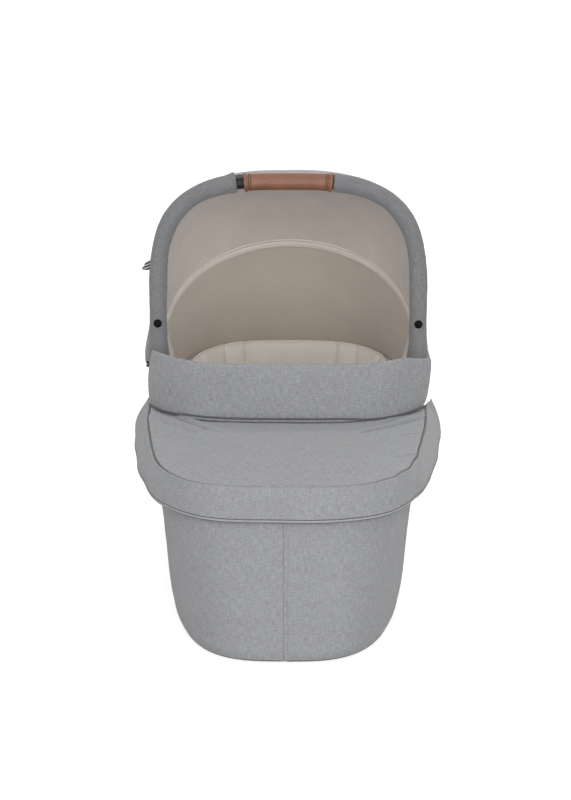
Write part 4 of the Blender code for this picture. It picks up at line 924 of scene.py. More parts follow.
# Outer faces of the hub's parts as (distance below the face, radius), from the edge inward
CAP_FACE = (
    (0.0022, HUB_RADIUS), (0.0009, HUB_RADIUS - 0.0006), (0.0002, HUB_RADIUS - 0.0020),
    (0.0, HUB_RADIUS - 0.0042),
    (0.0, 0.0178), (0.0006, 0.0172), (0.0006, 0.0160), (0.0, 0.0154), (0.0, 0.0108), (0.0004, 0.0098),
    (0.0012, 0.0094), (0.0030, 0.0093),
)
BUTTON_FACE = ((0.0008, 0.0088), (0.0001, 0.0081), (0.0, 0.0072), (0.0007, 0.0045), (0.0010, 0.001))


def build_hubs():
    """Moulded caps over the hubs with a dished press button in each."""
    inner, outer = hub_low.x, hub_high.x
    cap = [(inner, 0.0095), (inner, HUB_RADIUS - 0.0006), (inner + 0.0006, HUB_RADIUS)]
    cap += [(outer - depth, radius) for depth, radius in CAP_FACE] + [(inner, 0.0093)]
    button = [(button_low.x, 0.001), (button_low.x, 0.0088)]
    button += [(button_high.x - depth, radius) for depth, radius in BUTTON_FACE]
    place = (0.0, PIVOT_Y, PIVOT_Z)
    for side, name in SIDES:
        piece = turned("hub_cap_moulded_" + name, cap, place, (side, 0, 0), plastic)
        settle(piece, "cot", "black_plastic", "hub_cap_" + name)
        piece = turned("hub_button_moulded_" + name, button, place, (side, 0, 0), plastic)
        settle(piece, "hub_press_" + name, "black_plastic", "hub_button_" + name)


BOW_UP = plane_normal(BOW_LEAN)
BOW_COURSE = polar(*arch(BOW_HALF_WIDTH, BOW_REACH, BOW_STRAIGHT, BOW_POWER, BOW_START, 2000).T, BOW_LEAN)
BOW_LENGTH = long_of(BOW_COURSE)


def bow_half_width_at(distance):
    share = max(0.0, (distance - BOW_STRAIGHT) / (BOW_REACH - BOW_STRAIGHT))
    return BOW_HALF_WIDTH * (1 - share ** BOW_POWER) ** (1 / BOW_POWER)


def bow_share_at(x):
    """Share of the bow's length at which its top passes x."""
    top = slice(len(BOW_COURSE) // 4, len(BOW_COURSE) * 3 // 4)
    return float(np.interp(-x, -BOW_COURSE[top, 0], running(BOW_COURSE)[1][top] / BOW_LENGTH))


def tube_rows(path, radius, sides, squeeze=(1.0, 1.0), shift=0.0):
    """A padded tube on the bow: rows along the outside, then back along the bore."""
    sections = radius[:, None, None] * ring_section(1.0, sides) * np.reshape(squeeze, (-1, 1, 2))
    sections[..., 0] += np.reshape(shift, (-1, 1))
    front = section_grid(path, sections, BOW_UP)
    back = section_grid(path, ring_section(BORE, sides), BOW_UP)
    return np.concatenate([front, back[::-1]])


GRIP_RADIUS = 0.0136
GRIP_HALF_LENGTH = 0.0695
GRIP_ROWS = 240
GRIP_SIDES = 72
RING_PLACES = (0.0050, 0.0080, 0.0110)
SLEEVE_ROWS = 170
SLEEVE_SIDES = 56
SLEEVE_INNER_X = 0.1918
SLEEVE_GATHERS = 9
# Sleeves: side, share of the bow at the hub, x of the cuff, its swelling and shift, seed of the creases
SLEEVES = (
    ("right", 0.0, GRIP_HALF_LENGTH + 0.0008, 0.0008, 0.0, 5.0),
    ("left", 1.0, -GRIP_HALF_LENGTH - 0.0115, 0.0020, 0.0012, 9.0),
)


def sleeve_rows(path, from_hub, from_cuff, swell, shift, way):
    """The plain sleeve: flared and flattened at the hub, swollen at the cuff, round at both ends."""
    flare, cuff = falling(from_hub, 0.036, 0.004), bell(from_cuff - 0.0030, 0.0085)
    radius = SLEEVE_RADIUS + 0.0012 * flare + 0.0004 * np.sin(from_hub * 61.0) * (1 - flare) + swell * cuff
    ends = dome(from_cuff / 0.0018) * dome(from_hub / 0.0022)
    radius = THINNEST + (radius - BORE) * ends
    squeeze = np.column_stack([1 + 0.12 * flare, 1 + 0.02 * flare])
    rows = tube_rows(path, radius, SLEEVE_SIDES, squeeze, shift * cuff + way * 0.0010 * flare)
    return rows, flare[:, None], ends[:, None]


def build_sleeve(name, start, cuff_x, swell, shift, seed):
    """A padded sleeve with soft creases, gathered at the cuff and pressed flat inside the hood."""
    shares = np.linspace(start, bow_share_at(cuff_x), SLEEVE_ROWS)
    path = at_shares(BOW_COURSE, shares)
    from_hub, from_cuff = (np.abs(shares - end) * BOW_LENGTH for end in (shares[0], shares[-1]))
    grid, flare, ends = sleeve_rows(path, from_hub, from_cuff, swell, shift, 1 - 2 * start)
    outside = grid[:SLEEVE_ROWS]
    turns = np.arange(SLEEVE_SIDES) * tau * SLEEVE_GATHERS / SLEEVE_SIDES
    gather = 0.0005 * np.sin(turns) * bell(from_cuff - 0.003, 0.003)[:, None]
    crease = rough(outside, 70.0, seed) * 0.0004 + gather
    outside += unit(outside - path[:, None]) * (crease * ends)[..., None]
    behind = rising((outside - path[:, None]) @ BOW_UP, 0.008) * flare
    flatten = np.maximum(SLEEVE_INNER_X - np.abs(outside[..., 0]), 0) * behind
    outside[..., 0] += flatten * np.sign(path[:, :1])
    sleeve = solid_grid("bow_sleeve_" + name, grid, sleeve_cloth, wrap_rows=True, wrap_columns=True)
    settle(sleeve, "hood_bow", "cover_cloth", "sleeve_" + name)


def build_grip():
    """The leather grip: a collar at each end, rings of thread and a seam underneath."""
    start, end = bow_share_at(GRIP_HALF_LENGTH), bow_share_at(-GRIP_HALF_LENGTH)
    shares = np.linspace(start, end, GRIP_ROWS)
    path = at_shares(BOW_COURSE, shares)
    from_end = np.minimum(shares - start, end - shares) * BOW_LENGTH
    collar = rising(from_end, 0.0010) * falling(from_end, 0.0022, 0.0038)
    radius = GRIP_RADIUS - 0.0003 + 0.0016 * collar + 0.0004 * falling(from_end, 0.0060, 0.0120)
    radius = radius - sum(0.0006 * bell(from_end - place, 0.00060) for place in RING_PLACES)
    edge = dome(from_end / 0.0016)
    grid = tube_rows(path, THINNEST + (radius - BORE) * edge, GRIP_SIDES)
    seam = 0.0006 * bell(np.linspace(0.0, tau, GRIP_SIDES, endpoint=False) - 1.5 * pi, 0.07)
    outside = grid[:GRIP_ROWS]
    outside -= unit(outside - path[:, None]) * (seam * edge[:, None])[..., None]
    grip = solid_grid("grip_wrap", grid, leather, wrap_rows=True, wrap_columns=True)
    settle(grip, "hood_bow", "grip_leather", "grip_cover")
    for number, place in enumerate(RING_PLACES):
        for side, share in enumerate((start + place / BOW_LENGTH, end - place / BOW_LENGTH)):
            build_ring("grip_ring_%d_%d" % (number, side), share)


def build_ring(name, share):
    """A ring of thread round the grip."""
    before, centre, after = at_shares(BOW_COURSE, [share - 0.001, share, share + 0.001])
    turn = np.linspace(0, tau, GRIP_SIDES, endpoint=False)
    first = unit(np.cross(after - before, BOW_UP))
    out = np.outer(np.cos(turn), first) + np.outer(np.sin(turn), BOW_UP)
    path = centre + out * (GRIP_RADIUS - 0.0003)
    cord(name, path, THREAD_RADIUS, brown_thread, "hood_bow", "grip_leather", after - before, 8, True)


STUD_REACH = 0.094
# Press stud as (height over the sleeve, radius): a raised ring with a domed middle
STUD_PROFILE = (
    (-0.001, 0.0062), (0.0006, 0.0066), (0.0016, 0.0065), (0.0023, 0.0058), (0.0026, 0.0050),
    (0.0020, 0.0042), (0.0021, 0.0034), (0.0032, 0.0022), (0.0036, 0.0012), (0.0037, 0.0003),
)
TAG_REACH = 0.185
TAG_OUTLINE = (
    (0.0015, 0.0082), (-0.0040, 0.0066), (-0.0078, 0.0026), (-0.0110, -0.0030), (-0.0134, -0.0068),
    (-0.0130, -0.0082), (-0.0060, -0.0085), (0.0015, -0.0085),
)
TAG_LAYERS = ((-0.0009, 0.93), (-0.0007, 0.98), (-0.0003, 1.0), (0.0003, 1.0), (0.0007, 0.98), (0.0009, 0.93))
TAG_SLANT = 0.45


def build_studs():
    rise = SLEEVE_RADIUS - 0.0008
    profile = [(rise + height, radius) for height, radius in STUD_PROFILE]
    for side, name in SIDES:
        centre = polar(side * bow_half_width_at(STUD_REACH), STUD_REACH, BOW_LEAN)
        stud = turned("press_stud_" + name, profile, centre, -BOW_UP, stud_black, 40)
        settle(stud, "hood_bow", "black_plastic", "stud_" + name)


def build_tag():
    """A folded ribbon with plain stripes, sewn in at the left shoulder."""
    centre = polar(-bow_half_width_at(TAG_REACH) - SLEEVE_RADIUS, TAG_REACH, BOW_LEAN)
    outline = even(TAG_OUTLINE, 40, True)
    rows = []
    for depth, scale in TAG_LAYERS:
        ring = outline * scale + outline.mean(axis=0) * (1 - scale)
        rows.append(centre + np.insert(ring, 1, depth, axis=1))
    tag = solid_grid("ribbon_tab", rows, tag_cloth, wrap_columns=True)
    points = mesh_points(tag)
    set_texture(tag, np.column_stack([points[:, 0], points[:, 2] - TAG_SLANT * points[:, 0]]))
    settle(tag, "hood_bow", "tag_cloth", "label_tag")


# Hood cloth: away from the hub, and out from the bow and the rib
HOOD_START = 0.034
HOOD_RIM_START = 0.038
HOOD_THICKNESS = 0.0013
LINING_THICKNESS = 0.0010
HOOD_BOW_AWAY = 0.0176
HOOD_BOW_OUT = 0.0116
HOOD_BOW_IN = -0.0062
HOOD_RIB_OUT = 0.0062
HOOD_RIB_IN = -0.0040
HOOD_RIB_GAP = 0.0004
HOOD_RIM_LIFT = 0.0012
HOOD_RIM_OUT = 0.0035
HOOD_RIM_IN = 0.0115
HOOD_BULGE = 0.013
HOOD_SAG = 0.010
HOOD_COLUMNS = 181
HOOD_ROWS = 44
HEM_DENSE = 320
HEM_ROWS = 11
HEM_LIFT = 0.0013
BELLY_LEFT = 0.0077
BELLY_RIGHT = 0.0022
# Unevenness of the sheets: depth, scale, seed
RIPPLES = {
    "canopy_front": (0.0022, 14.0, 2.0), "canopy_rear": (0.0026, 12.0, 4.0),
    "lining_front": (0.0012, 11.0, 6.0), "lining_rear": (0.0012, 11.0, 7.0),
}


def rib_tuck(distance):
    """How far the lining stands in near the hubs."""
    return (RIB_HALF_WIDTH - RIB_HUB_X) * falling(distance, 0.080, 0.050)


def rib_spread(distance):
    """How far the outer cloth stands out near the hubs, so that the folding sleeves pass inside it."""
    return 0.0095 * falling(distance, 0.06, 0.13) + 0.0040 * falling(distance, 0.04, 0.05)


def rib_edge(offset, way, count=HOOD_COLUMNS):
    """The hood's line over the middle rib as (x, distance, lean)."""
    sizes = RIB_HALF_WIDTH + offset, RIB_REACH + offset
    x, distance = arch(*sizes, RIB_STRAIGHT, RIB_POWER, HOOD_START, count).T
    x = x + np.sign(x) * (rib_spread(distance) if offset > 0 else -rib_tuck(distance))
    return np.column_stack([x, distance, RIB_LEAN + way / distance])


def bow_edge(offset):
    """A line just behind the bow's covers as (x, distance, lean)."""
    sizes = BOW_HALF_WIDTH + offset, BOW_REACH + offset
    line = arch(*sizes, BOW_STRAIGHT, BOW_POWER, HOOD_START, HOOD_COLUMNS)
    behind = np.sqrt(max(HOOD_BOW_AWAY ** 2 - offset ** 2, 0.0))
    return np.column_stack([line, BOW_LEAN + np.arcsin(np.clip(behind / line[:, 1], 0, 1))])


def rim_edge(inset):
    """The hood's line along the rim round the head end as (x, distance, lean)."""
    outline = superellipse(*wall_sizes(RIM_HEIGHT, -inset))
    x, y = even(outline[outline[:, 1] >= PIVOT_Y + HOOD_RIM_START], HOOD_COLUMNS).T
    away, above = y - PIVOT_Y, RIM_TOP + HOOD_RIM_LIFT - PIVOT_Z
    return np.column_stack([x, np.hypot(away, above), np.arctan2(away, above)])


def hood_grid(first, last, swell=0.0, rows=HOOD_ROWS):
    """Rows of points from one edge of the hood's cloth to the next."""
    share = np.linspace(0, 1, rows)[:, None]
    top = np.sin(pi * np.linspace(0, 1, len(first)))
    x, distance, lean = (first[:, k] + (last[:, k] - first[:, k]) * share for k in range(3))
    return polar(x, distance + swell * np.sin(pi * share) * top, lean)


def ripple(grid, node):
    """Soft unevenness in stretched cloth, none at its edges."""
    amount, scale, seed = RIPPLES[node]
    inside = np.sin(pi * np.linspace(0, 1, len(grid)))[:, None] ** 0.5
    return grid + grid_normals(grid) * (rough(grid, scale, seed) * amount * inside)[..., None]


def belly(grid):
    """How far the front canopy bellies out beside the hubs, more on the left than on the right."""
    share = np.linspace(0, 1, len(grid))[:, None]
    from_pivot = np.linalg.norm(grid[..., 1:] - np.array(PIVOT)[1:], axis=2)
    out = np.where(grid[..., 0] < 0, -BELLY_LEFT, BELLY_RIGHT) * bell(from_pivot - 0.052, 0.042)
    return out * rising(share, 0.08) * falling(share, 0.5, 0.30)


def across_bow(piece):
    """Bake a piece's place in the world into its points."""
    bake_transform(piece)


def across_rib(piece):
    """Bake a piece's place in the world into its points."""
    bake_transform(piece)


def hood_sheet(node, grid, look, thickness):
    """A stretched sheet of the hood that stands for its frame node."""
    piece = cloth_grid(node + "_cloth", grid, look, thickness)
    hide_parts(node)
    if node.endswith("front"):
        across_bow(piece)
    else:
        across_rib(piece)


def build_hood():
    """The outer cloth, wrapped round the bow and over the rib, and the lining inside it."""
    main = hood_grid(bow_edge(HOOD_BOW_OUT), rib_edge(HOOD_RIB_OUT, -HOOD_RIB_GAP), HOOD_BULGE)
    main = ripple(main, "canopy_front")
    main[..., 0] += belly(main)
    wrap = [polar(*bow_edge(offset).T) for offset in np.linspace(HOOD_BOW_IN + 0.0012, HOOD_BOW_OUT, 7)[:-1]]
    front = np.concatenate([wrap, main])
    hood_sheet("canopy_front", front, grey_cloth, HOOD_THICKNESS)
    rear = hood_grid(rib_edge(HOOD_RIB_OUT, HOOD_RIB_GAP), rim_edge(HOOD_RIM_OUT), -HOOD_SAG)
    rear = ripple(rear, "canopy_rear")
    hood_sheet("canopy_rear", rear, grey_cloth, HOOD_THICKNESS)
    edges = bow_edge(HOOD_BOW_IN), rib_edge(HOOD_RIB_IN, -HOOD_RIB_GAP)
    inner = ripple(hood_grid(*edges), "lining_front")
    # The front lining is painted lighter than the rear one: painted light.
    hood_sheet("lining_front", inner, pale_lining, LINING_THICKNESS)
    hem = hood_grid(*edges, rows=HEM_DENSE)[:HEM_ROWS]
    # The hem along the bow takes the lighter band cloth: painted light.
    hem = cloth_grid("lining_hem", hem - grid_normals(hem) * HEM_LIFT, pale_piping, THIN_CLOTH)
    across_bow(hem)
    inner = hood_grid(rib_edge(HOOD_RIB_IN, HOOD_RIB_GAP), rim_edge(HOOD_RIM_IN), -HOOD_SAG)
    inner = ripple(inner, "lining_rear")
    hood_sheet("lining_rear", inner, lining_cloth, LINING_THICKNESS)
    build_rib_band()


BAND_WIDTH = 0.0128
BAND_SWELL = 0.0016
BAND_START = 0.124


def tunnel_line(offset, way):
    """A line along the rib inside the lining, whose ends pass out through the lining behind the legs."""
    edge = rib_edge(offset, way, 300)
    edge[:, 0] += 0.0040 * falling(edge[:, 1], 0.020, 0.128) * np.sign(edge[:, 0])
    return even(polar(*edge[edge[:, 1] > BAND_START].T), 260)


def build_rib_band():
    """The tunnel sewn over the rib inside the hood, its edge cord, and the seam cord outside."""
    rows = []
    for place in np.linspace(-0.5, 0.5, 13):
        swell = BAND_SWELL * (1 - (2 * place) ** 4)
        rows.append(tunnel_line(HOOD_RIB_IN - 0.0008 - swell, place * BAND_WIDTH + 0.001))
    settle(cloth_grid("rib_tunnel", rows, band_cloth, THIN_CLOTH), "hood_rib", "lining_cloth")
    groove = tunnel_line(HOOD_RIB_IN - 0.0006, -0.0066)
    edge = tunnel_line(HOOD_RIB_IN - 0.0014, -0.0086)
    seam = polar(*rib_edge(HOOD_RIB_OUT + 0.0008, 0.0, 260).T)
    for name, path, radius, look, slot in (
        ("rib_tunnel_groove", groove, 0.0012, beige_thread, "lining_cloth"),
        ("rib_tunnel_cord", edge, 0.0013, band_cloth, "lining_cloth"),
        ("rib_seam_cord", seam, SEAM_CORD_RADIUS, dark_piping, "dark_piping"),
    ):
        cord(name, path, radius, look, "hood_rib", slot, plane_normal(RIB_LEAN))


# Creases of the apron: start and end in plan, depth, half width
APRON_FOLDS = (
    ((-0.204, -0.034), (-0.088, -0.192), 0.0056, 0.011),
    ((-0.190, -0.090), (-0.120, -0.190), 0.0030, 0.009),
    ((0.205, -0.078), (0.090, -0.196), 0.0052, 0.011),
    ((0.202, -0.040), (0.140, -0.120), 0.0036, 0.008),
    ((0.203, -0.150), (0.165, -0.175), 0.0026, 0.006),
    ((0.198, -0.255), (0.150, -0.285), 0.0022, 0.006),
    ((-0.202, -0.160), (-0.160, -0.190), 0.0022, 0.007),
)
APRON_CROWN = 0.012
APRON_WAVES = ((1.0, 16.0, 11.0, 0.0014), (1.0, 45.0, 13.0, 0.0004))
SEAM_DRAWN_IN = 0.0088


def wander(plan):
    """How far the apron's seam strays from the rim's course: wavy at the corners, drawn in at the sides."""
    x, y = plan.T
    out = unit(np.column_stack([x, y - APRON_CENTRE_Y]))
    corner = bell(np.abs(x) - 0.165, 0.040) * smoothstep((-0.2 - y) / 0.05)
    stray = out * (0.0016 * np.sin(x * 150.0 + y * 60.0) * corner)[:, None]
    stray[:, 0] -= SEAM_DRAWN_IN * bell(y + 0.215, 0.105) * np.sign(x) * rising(np.abs(x), 0.08, 0.06)
    return stray


def seam_line(count, outset=0.0):
    """The apron's seam in plan, from right to left round the foot end."""
    half_width, half_length, power = wall_sizes(RIM_HEIGHT, SEAM_OUTSET + outset)
    outline = superellipse(half_width, half_length, power)
    run = outline[outline[:, 1] < APRON_REAR_Y]
    run = run[np.argsort(-np.arctan2(run[:, 0], -run[:, 1]))]
    line = even(np.vstack([[half_width, APRON_REAR_Y], run, [-half_width, APRON_REAR_Y]]), count)
    return line + wander(line)


def rear_bulge(x, half_width):
    """How far the apron's rear edge and the flap bow toward the foot end."""
    return APRON_BULGE * (1 - np.minimum(np.abs(x) / half_width, 1.0) ** APRON_BULGE_POWER)


def fold(x, y, start, end, depth, width):
    """A crease with a soft ridge on either side, fading at both ends."""
    start, end = np.array(start), np.array(end)
    length = np.linalg.norm(end - start)
    along = (end - start) / length
    place = (x - start[0]) * along[0] + (y - start[1]) * along[1]
    away = (x - start[0]) * -along[1] + (y - start[1]) * along[0]
    fade = smoothstep((place + width) / (2 * width)) * smoothstep((length - place) / (0.4 * length))
    shape = 0.7 * bell(away - width, width * 0.8) - bell(away, width * 0.55) + 0.5 * bell(away + width, width)
    return depth * shape * fade


def apron_height_at(plan, share):
    """The crowned and creased top of the apron over its plan."""
    x, y = plan.T
    before_flap = APRON_REAR_Y - rear_bulge(x, RIM_HALF_WIDTH + SEAM_OUTSET) - 0.030 - y
    crown = APRON_CROWN * rising(1 - share, 0.75) * rising(before_flap, 0.080)
    creases = sum(fold(x, y, *crease) for crease in APRON_FOLDS)
    return APRON_TOP + crown + creases + waves(with_height(plan, 0.0), APRON_WAVES) * rising(1 - share, 0.12)


def build_apron():
    """The apron's crowned top with its seam piping, and the skirt round it."""
    seam = seam_line(APRON_COLUMNS)
    x = np.linspace(-seam[0][0], seam[0][0], 122)[1:-1]
    outline = np.vstack([seam, np.column_stack([x, APRON_REAR_Y - rear_bulge(x, seam[0][0])])])
    centre = np.array([0.0, APRON_CENTRE_Y])
    rings = []
    for share in (1.0, 0.985, *np.linspace(0.96, 0.02, 60)):
        plan = centre + (outline - centre) * share
        rings.append(with_height(plan, apron_height_at(plan, share)))
    upper = np.array(rings)
    upper[0, :, 2] -= 0.0006
    lower = upper - [0, 0, APRON_THICKNESS]
    lower[0, :, 2] += 0.0012
    top = solid_grid("apron_top_cloth", np.concatenate([lower[::-1], upper]), grey_cloth, wrap_columns=True)
    set_texture(top, mesh_points(top)[:, :2])
    settle(top, "apron", "cover_cloth", "apron_top")
    line = seam_line(CORD_POINTS, 0.0022)
    front = falling(np.abs(line[:, 0]), 0.05, 0.09) * (line[:, 1] < -0.3)
    path = with_height(line, APRON_TOP - 0.0014 - 0.0010 * front)
    piping = cord("apron_seam_cord", path, SEAM_CORD_RADIUS, dark_piping, "apron", "dark_piping")
    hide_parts("apron_piping")
    build_skirt()


SKIRT_DROP = 0.0465
SKIRT_TAIL_DROP = 0.0048
SKIRT_TAIL_Y = 0.036
SKIRT_TAILS = {1: 0.0100, -1: -0.0045}
SKIRT_FLARE = 0.0300
SKIRT_PULL = 0.0020
SKIRT_BELLY = 0.0010
SKIRT_RIPPLES = 9
SKIRT_RIPPLE = 0.0008
SKIRT_THICKNESS = 0.0022
SKIRT_TOP = APRON_TOP - 0.0010
SKIRT_WAVES = ((1.0, 14.0, 17.0, 0.0008), ((1, 1, 0.4), 40.0, 19.0, 0.0003))
SKIRT_ROWS = (-0.02, 0.03, *np.linspace(0.08, 1.0, 26))
# Cords at the hem: name, outset, drop, radius, look, slot, width for its height
# The hem roll is painted lighter as a highlight. The dark cord above it is the seam, darkened with painted
# shade in its groove, and the dark cord below is painted shadow under the roll.
HEM_CORDS = (
    ("hem_roll", 0.0002, 0.0028, 0.0019, hem_cloth, "cover_cloth", 0.9),
    ("hem_seam", 0.0009, 0.0006, 0.0008, dark_piping, "dark_piping", 1.0),
    ("hem_edge", -0.0004, 0.0050, 0.0009, dark_piping, "dark_piping", 1.0),
)


def skirt_path():
    """The skirt's upper edge in plan, with the tails that run on behind the apron's seam."""
    seam = seam_line(DENSE, 0.0044)
    share = 1 - np.arange(30) / 30
    y = APRON_REAR_Y + (SKIRT_TAIL_Y - APRON_REAR_Y) * share
    right, left = (
        np.column_stack([side * seam[0][0] + out * smoothstep(share), y]) for side, out in SKIRT_TAILS.items()
    )
    return even(np.vstack([right, seam, left[::-1]]), 1600)


def skirt_course(along):
    """Points in plan along the skirt from the right tail to the left one, and the directions outward."""
    path = skirt_path()
    last = len(path) - 1
    place = along * last
    plan = values_at(place, np.arange(len(path)), path)
    near = place.astype(int)
    step = path[np.minimum(near + 8, last)] - path[np.maximum(near - 8, 0)]
    out = unit(np.column_stack([-step[:, 1], step[:, 0]]))
    return plan, out * np.sign((out * (plan - [0.0, APRON_CENTRE_Y])).sum(axis=1))[:, None]


def skirt_row(along, plan, out, down):
    """A row of the skirt, a share of the way down from its seam."""
    tail = rising(np.minimum(along, 1 - along), 0.020)
    drop = SKIRT_TAIL_DROP + (SKIRT_DROP - SKIRT_TAIL_DROP) * tail
    sideways = np.abs(out[:, 0]) ** 3 * rising(plan[:, 1] / RIM_HALF_LENGTH, 1.2, -0.86)
    flare = (SKIRT_FLARE * sideways - SKIRT_PULL) * (1 - (1 - down) ** 2)
    wave = SKIRT_RIPPLE * np.sin(tau * SKIRT_RIPPLES * along) * down ** 2
    push = (flare + wave + SKIRT_BELLY * sin(pi * min(down, 1.0))) * tail
    plan = plan - wander(plan) * rising(down, 0.8)
    return with_height(plan + out * push[:, None], SKIRT_TOP - drop * down)


def build_skirt():
    """The skirt that hangs from the apron's seam, with its bound hem painted lighter as a highlight, between
    a dark cord of painted shade in the seam's groove above and one of painted shadow under it.
    """
    along = np.linspace(0, 1, SKIRT_COLUMNS)
    plan, out = skirt_course(along)
    grid = np.array([skirt_row(along, plan, out, down) for down in SKIRT_ROWS])
    inside = rising(np.array(SKIRT_ROWS), 0.25)[:, None]
    grid += grid_normals(grid) * (waves(grid, SKIRT_WAVES) * inside)[..., None]
    skirt = cloth_grid("apron_skirt_cloth", grid, grey_cloth, SKIRT_THICKNESS)
    settle(skirt, "apron", "cover_cloth", "apron_skirt")
    for name, outset, drop, radius, look, slot, across in HEM_CORDS:
        path = grid[-1] + with_height(out, 0.0) * outset - [0, 0, drop]
        band = cord(name, path, radius, look, "apron", slot, across=across)
        if name == "hem_roll":
            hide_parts("hem_binding")


FLAP_COLUMNS = 330
FLAP_ROWS = np.array([0.0, 0.015, 0.04, *np.linspace(0.08, 0.92, 26), 0.96, 0.985])
FLAP_LEAN = 0.004
FLAP_THIN = 0.005
FLAP_PADDING = 0.008
# Padding by height: shares of the flap's height, and of the padding there
PADDING_SHARES = ((0.0, 0.12, 0.45, 0.8, 0.96, 1.0), (0.35, 0.8, 1.0, 0.85, 0.5, 0.15))
FLAP_WAVES = ((1.0, 17.0, 23.0, 0.0016), ((1, 1, 0.5), 48.0, 29.0, 0.0006))
# Cords at the flap's foot: before the flap, further at the middle, drop, lift at the middle, radius, look
# The first dark cord is the seam at the flap's foot, thickened with painted shade. The grey middle cord is
# the binding roll, and the last dark cord is painted shadow on the apron under it.
FLAP_CORDS = (
    (0.0046, 0.0, -0.0012, 0.0030, 0.0017, dark_piping),
    (0.0010, 0.0028, -0.0026, 0.0008, 0.0019, grey_cloth),
    (0.0030, 0.0030, -0.0036, 0.0, 0.0015, dark_piping),
)


def shape_flap_ends(points, from_right, from_left):
    """Draw the right end out at the top and in at the foot, lower its corner, and pull the left end in."""
    height = FLAP_ROWS[:, None]
    right, left = smoothstep(1 - from_right / 0.060), smoothstep(1 - from_left / 0.050)
    points[..., 0] += (0.0122 * height ** 0.65 - 0.0030 * (1 - height) ** 3) * right
    points[..., 0] -= 0.0030 * np.sin(pi * height) * left
    points[..., 2] -= 0.0110 * height ** 2 * right


def flap_grid(path, backward):
    """Rows up the flap's front, over its top edge and down its rear."""
    height = FLAP_ROWS[:, None]
    share = np.linspace(0, 1, FLAP_COLUMNS)
    from_right, from_left = share * long_of(path), (1 - share) * long_of(path)
    from_end = np.minimum(from_right, from_left)
    ends = dome(from_end / 0.006)
    padding = np.interp(FLAP_ROWS, *PADDING_SHARES)[:, None] * (1 - 0.55 * bell(from_end - 0.0125, 0.0035))
    half = (FLAP_THIN + FLAP_PADDING * padding) / 2 * ends
    points = np.repeat(path[None], len(FLAP_ROWS), axis=0)
    points[..., 2] += FLAP_HEIGHT * height
    bumps = waves(points, FLAP_WAVES)
    pucker = 0.0004 * np.sin(share * 260.0) * bell(height - 0.05, 0.06)
    shape_flap_ends(points, from_right, from_left)
    lean = FLAP_LEAN * height
    front = points + backward * (lean - half - (bumps + pucker) * ends)[..., None]
    rear = points + backward * (lean + half + bumps * 0.6 * ends)[..., None]
    crest = points[-1:] + backward * FLAP_LEAN + [0, 0, FLAP_HEIGHT * (1 - FLAP_ROWS[-1])]
    return np.concatenate([front, crest, rear[::-1]])


def build_flap():
    """A padded collar: two faces, a rounded top edge, sewn ends, and at its foot a binding cord between dark
    cords of painted shade.
    """
    x = np.linspace(FLAP_HALF_WIDTH, -FLAP_HALF_WIDTH, DENSE)
    plan = even(np.column_stack([x, FLAP_END_Y - rear_bulge(x, FLAP_HALF_WIDTH)]), FLAP_COLUMNS)
    path = with_height(plan, FLAP_FOOT)
    backward = frames_along(path, (0, 0, 1))[1]
    # The flap's cloth is a darker grey as painted shade.
    flap = solid_grid("wind_flap_padded", flap_grid(path, backward), flap_cloth, wrap_rows=True)
    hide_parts("wind_flap", "flap_piping")
    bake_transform(flap)
    apart = smoothstep((0.160 - np.abs(plan[:, 0] + 0.03)) / 0.05)
    for number, (before, further, drop, lift, radius, look) in enumerate(FLAP_CORDS):
        line = plan - backward[:, :2] * (before + further * apart)[:, None]
        line = with_height(line, FLAP_FOOT + drop + lift * apart)
        cord("flap_foot_cord_%d" % number, line, radius, look, "apron", "dark_piping")


def dress_nodes():
    """Finishes for the frame's own rigid pieces."""
    looks = {
        "base_pan": plastic, "mattress_board": board, "mid_rib": plastic, "bow_tube": tube_black,
        "rim_frame": steel, "end_strut_head": steel, "end_strut_foot": steel,
    }
    for _, side in SIDES:
        for node in ("hub_plate_", "adapter_socket_", "release_button_"):
            looks[node + side] = plastic
        for node in ("hub_pin_", "hub_spring_", "release_spring_"):
            looks[node + side] = steel
    for node, look in looks.items():
        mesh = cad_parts[node].data
        mesh.materials.clear()
        mesh.materials.append(look)


FLOOR_SIZE = 14.0
FLOOR_DROP = 0.0002
FLOOR_GREY = 0.42
FLOOR_GLOW = 0.77
FILL_LIGHT = 0.55
WHITE = (1.0, 1.0, 1.0, 1.0)
# Lamps: name, place, size, power
LAMPS = (
    ("front", (0.2, -4.2, 1.6), 2.6, 44.0),
    ("low", (0.3, -3.4, 0.85), 1.6, 26.0),
    ("key", (-2.2, -2.4, 1.7), 2.2, 21.0),
    ("side", (2.2, -2.6, 1.3), 2.0, 23.0),
    ("top", (0.0, 0.4, 3.0), 2.6, 14.0),
    ("back", (0.3, 3.2, 1.8), 2.4, 40.0),
)
LAMP_TARGET = Vector((0.0, 0.0, 0.3))
CAMERA_ELEVATION = radians(16.0)
CAMERA_YAW = radians(0.9)
CAMERA_DISTANCE = 3.2
CAMERA_TARGET = Vector((-0.0034, 0.0, 0.2757))
CAMERA_LENS = 91.584
CAMERA_SENSOR = 36.0


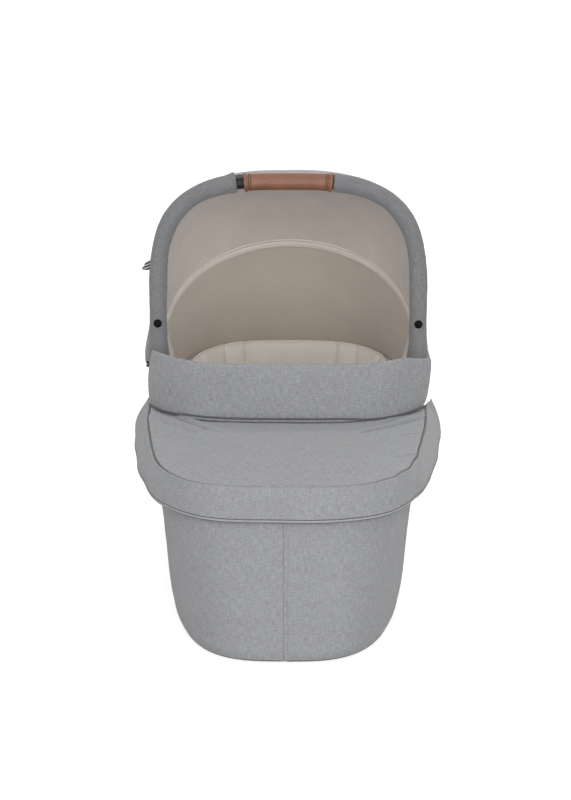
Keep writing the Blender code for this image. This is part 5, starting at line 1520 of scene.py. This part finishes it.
def build_stage():
    """A floor that keeps the shadow and reads as white to the camera and in reflections."""
    bpy.ops.mesh.primitive_plane_add(size=FLOOR_SIZE, location=(0.0, 0.0, -FLOOR_DROP))
    floor = bpy.context.object
    floor.name = "floor"
    look = bpy.data.materials.new("pale_floor")
    nodes = Nodes(look)
    nodes.tree.nodes.clear()
    matt = nodes.node("ShaderNodeBsdfDiffuse", Color=(*grey(FLOOR_GREY), 1.0))
    strength = nodes.math("MULTIPLY", nodes.ray("Camera", "Glossy"), FLOOR_GLOW)
    glow = nodes.node("ShaderNodeEmission", Strength=strength)
    total = nodes.node("ShaderNodeAddShader", i0=matt.outputs[0], i1=glow.outputs[0])
    nodes.node("ShaderNodeOutputMaterial", Surface=total.outputs[0])
    floor.data.materials.append(look)


def aimed(name, data, place, target):
    """A lamp or camera that looks from a place at a target."""
    made = bpy.data.objects.new(name, data)
    made.location = place
    made.rotation_euler = (target - Vector(place)).to_track_quat("-Z", "Y").to_euler()
    bpy.context.scene.collection.objects.link(made)
    return made


def build_light():
    """Square lamps round the cot, and a white world whose light on the cot is softer than it looks."""
    world = bpy.data.worlds.new("studio")
    bpy.context.scene.world = world
    nodes = Nodes(world)
    nodes.tree.nodes.clear()
    seen = nodes.node("ShaderNodeBackground", Color=WHITE, Strength=1.0)
    fill = nodes.node("ShaderNodeBackground", Color=WHITE, Strength=FILL_LIGHT)
    share = nodes.ray("Camera", "Transmission")
    choose = nodes.node("ShaderNodeMixShader", i0=share, i1=fill.outputs[0], i2=seen.outputs[0])
    nodes.node("ShaderNodeOutputWorld", Surface=choose.outputs[0])
    for name, place, size, power in LAMPS:
        lamp = bpy.data.lights.new(name, "AREA")
        lamp.shape = "SQUARE"
        lamp.size = size
        lamp.energy = power
        aimed(name, lamp, place, LAMP_TARGET)


def build_camera():
    flat = cos(CAMERA_ELEVATION)
    back = Vector((sin(CAMERA_YAW) * flat, -cos(CAMERA_YAW) * flat, sin(CAMERA_ELEVATION)))
    lens = bpy.data.cameras.new("camera")
    lens.lens = CAMERA_LENS
    lens.sensor_width = CAMERA_SENSOR
    bpy.context.scene.camera = aimed("camera", lens, CAMERA_TARGET + back * CAMERA_DISTANCE, CAMERA_TARGET)


build_camera()
build_light()
build_stage()
dress_nodes()
build_cover()
build_rim()
build_liner()
build_mattress()
build_hubs()
for sleeve in SLEEVES:
    build_sleeve(*sleeve)
build_grip()
build_studs()
build_tag()
build_hood()
build_apron()
build_flap()

bpy.context.scene.view_settings.view_transform = "Standard"
bpy.context.view_layer.update()
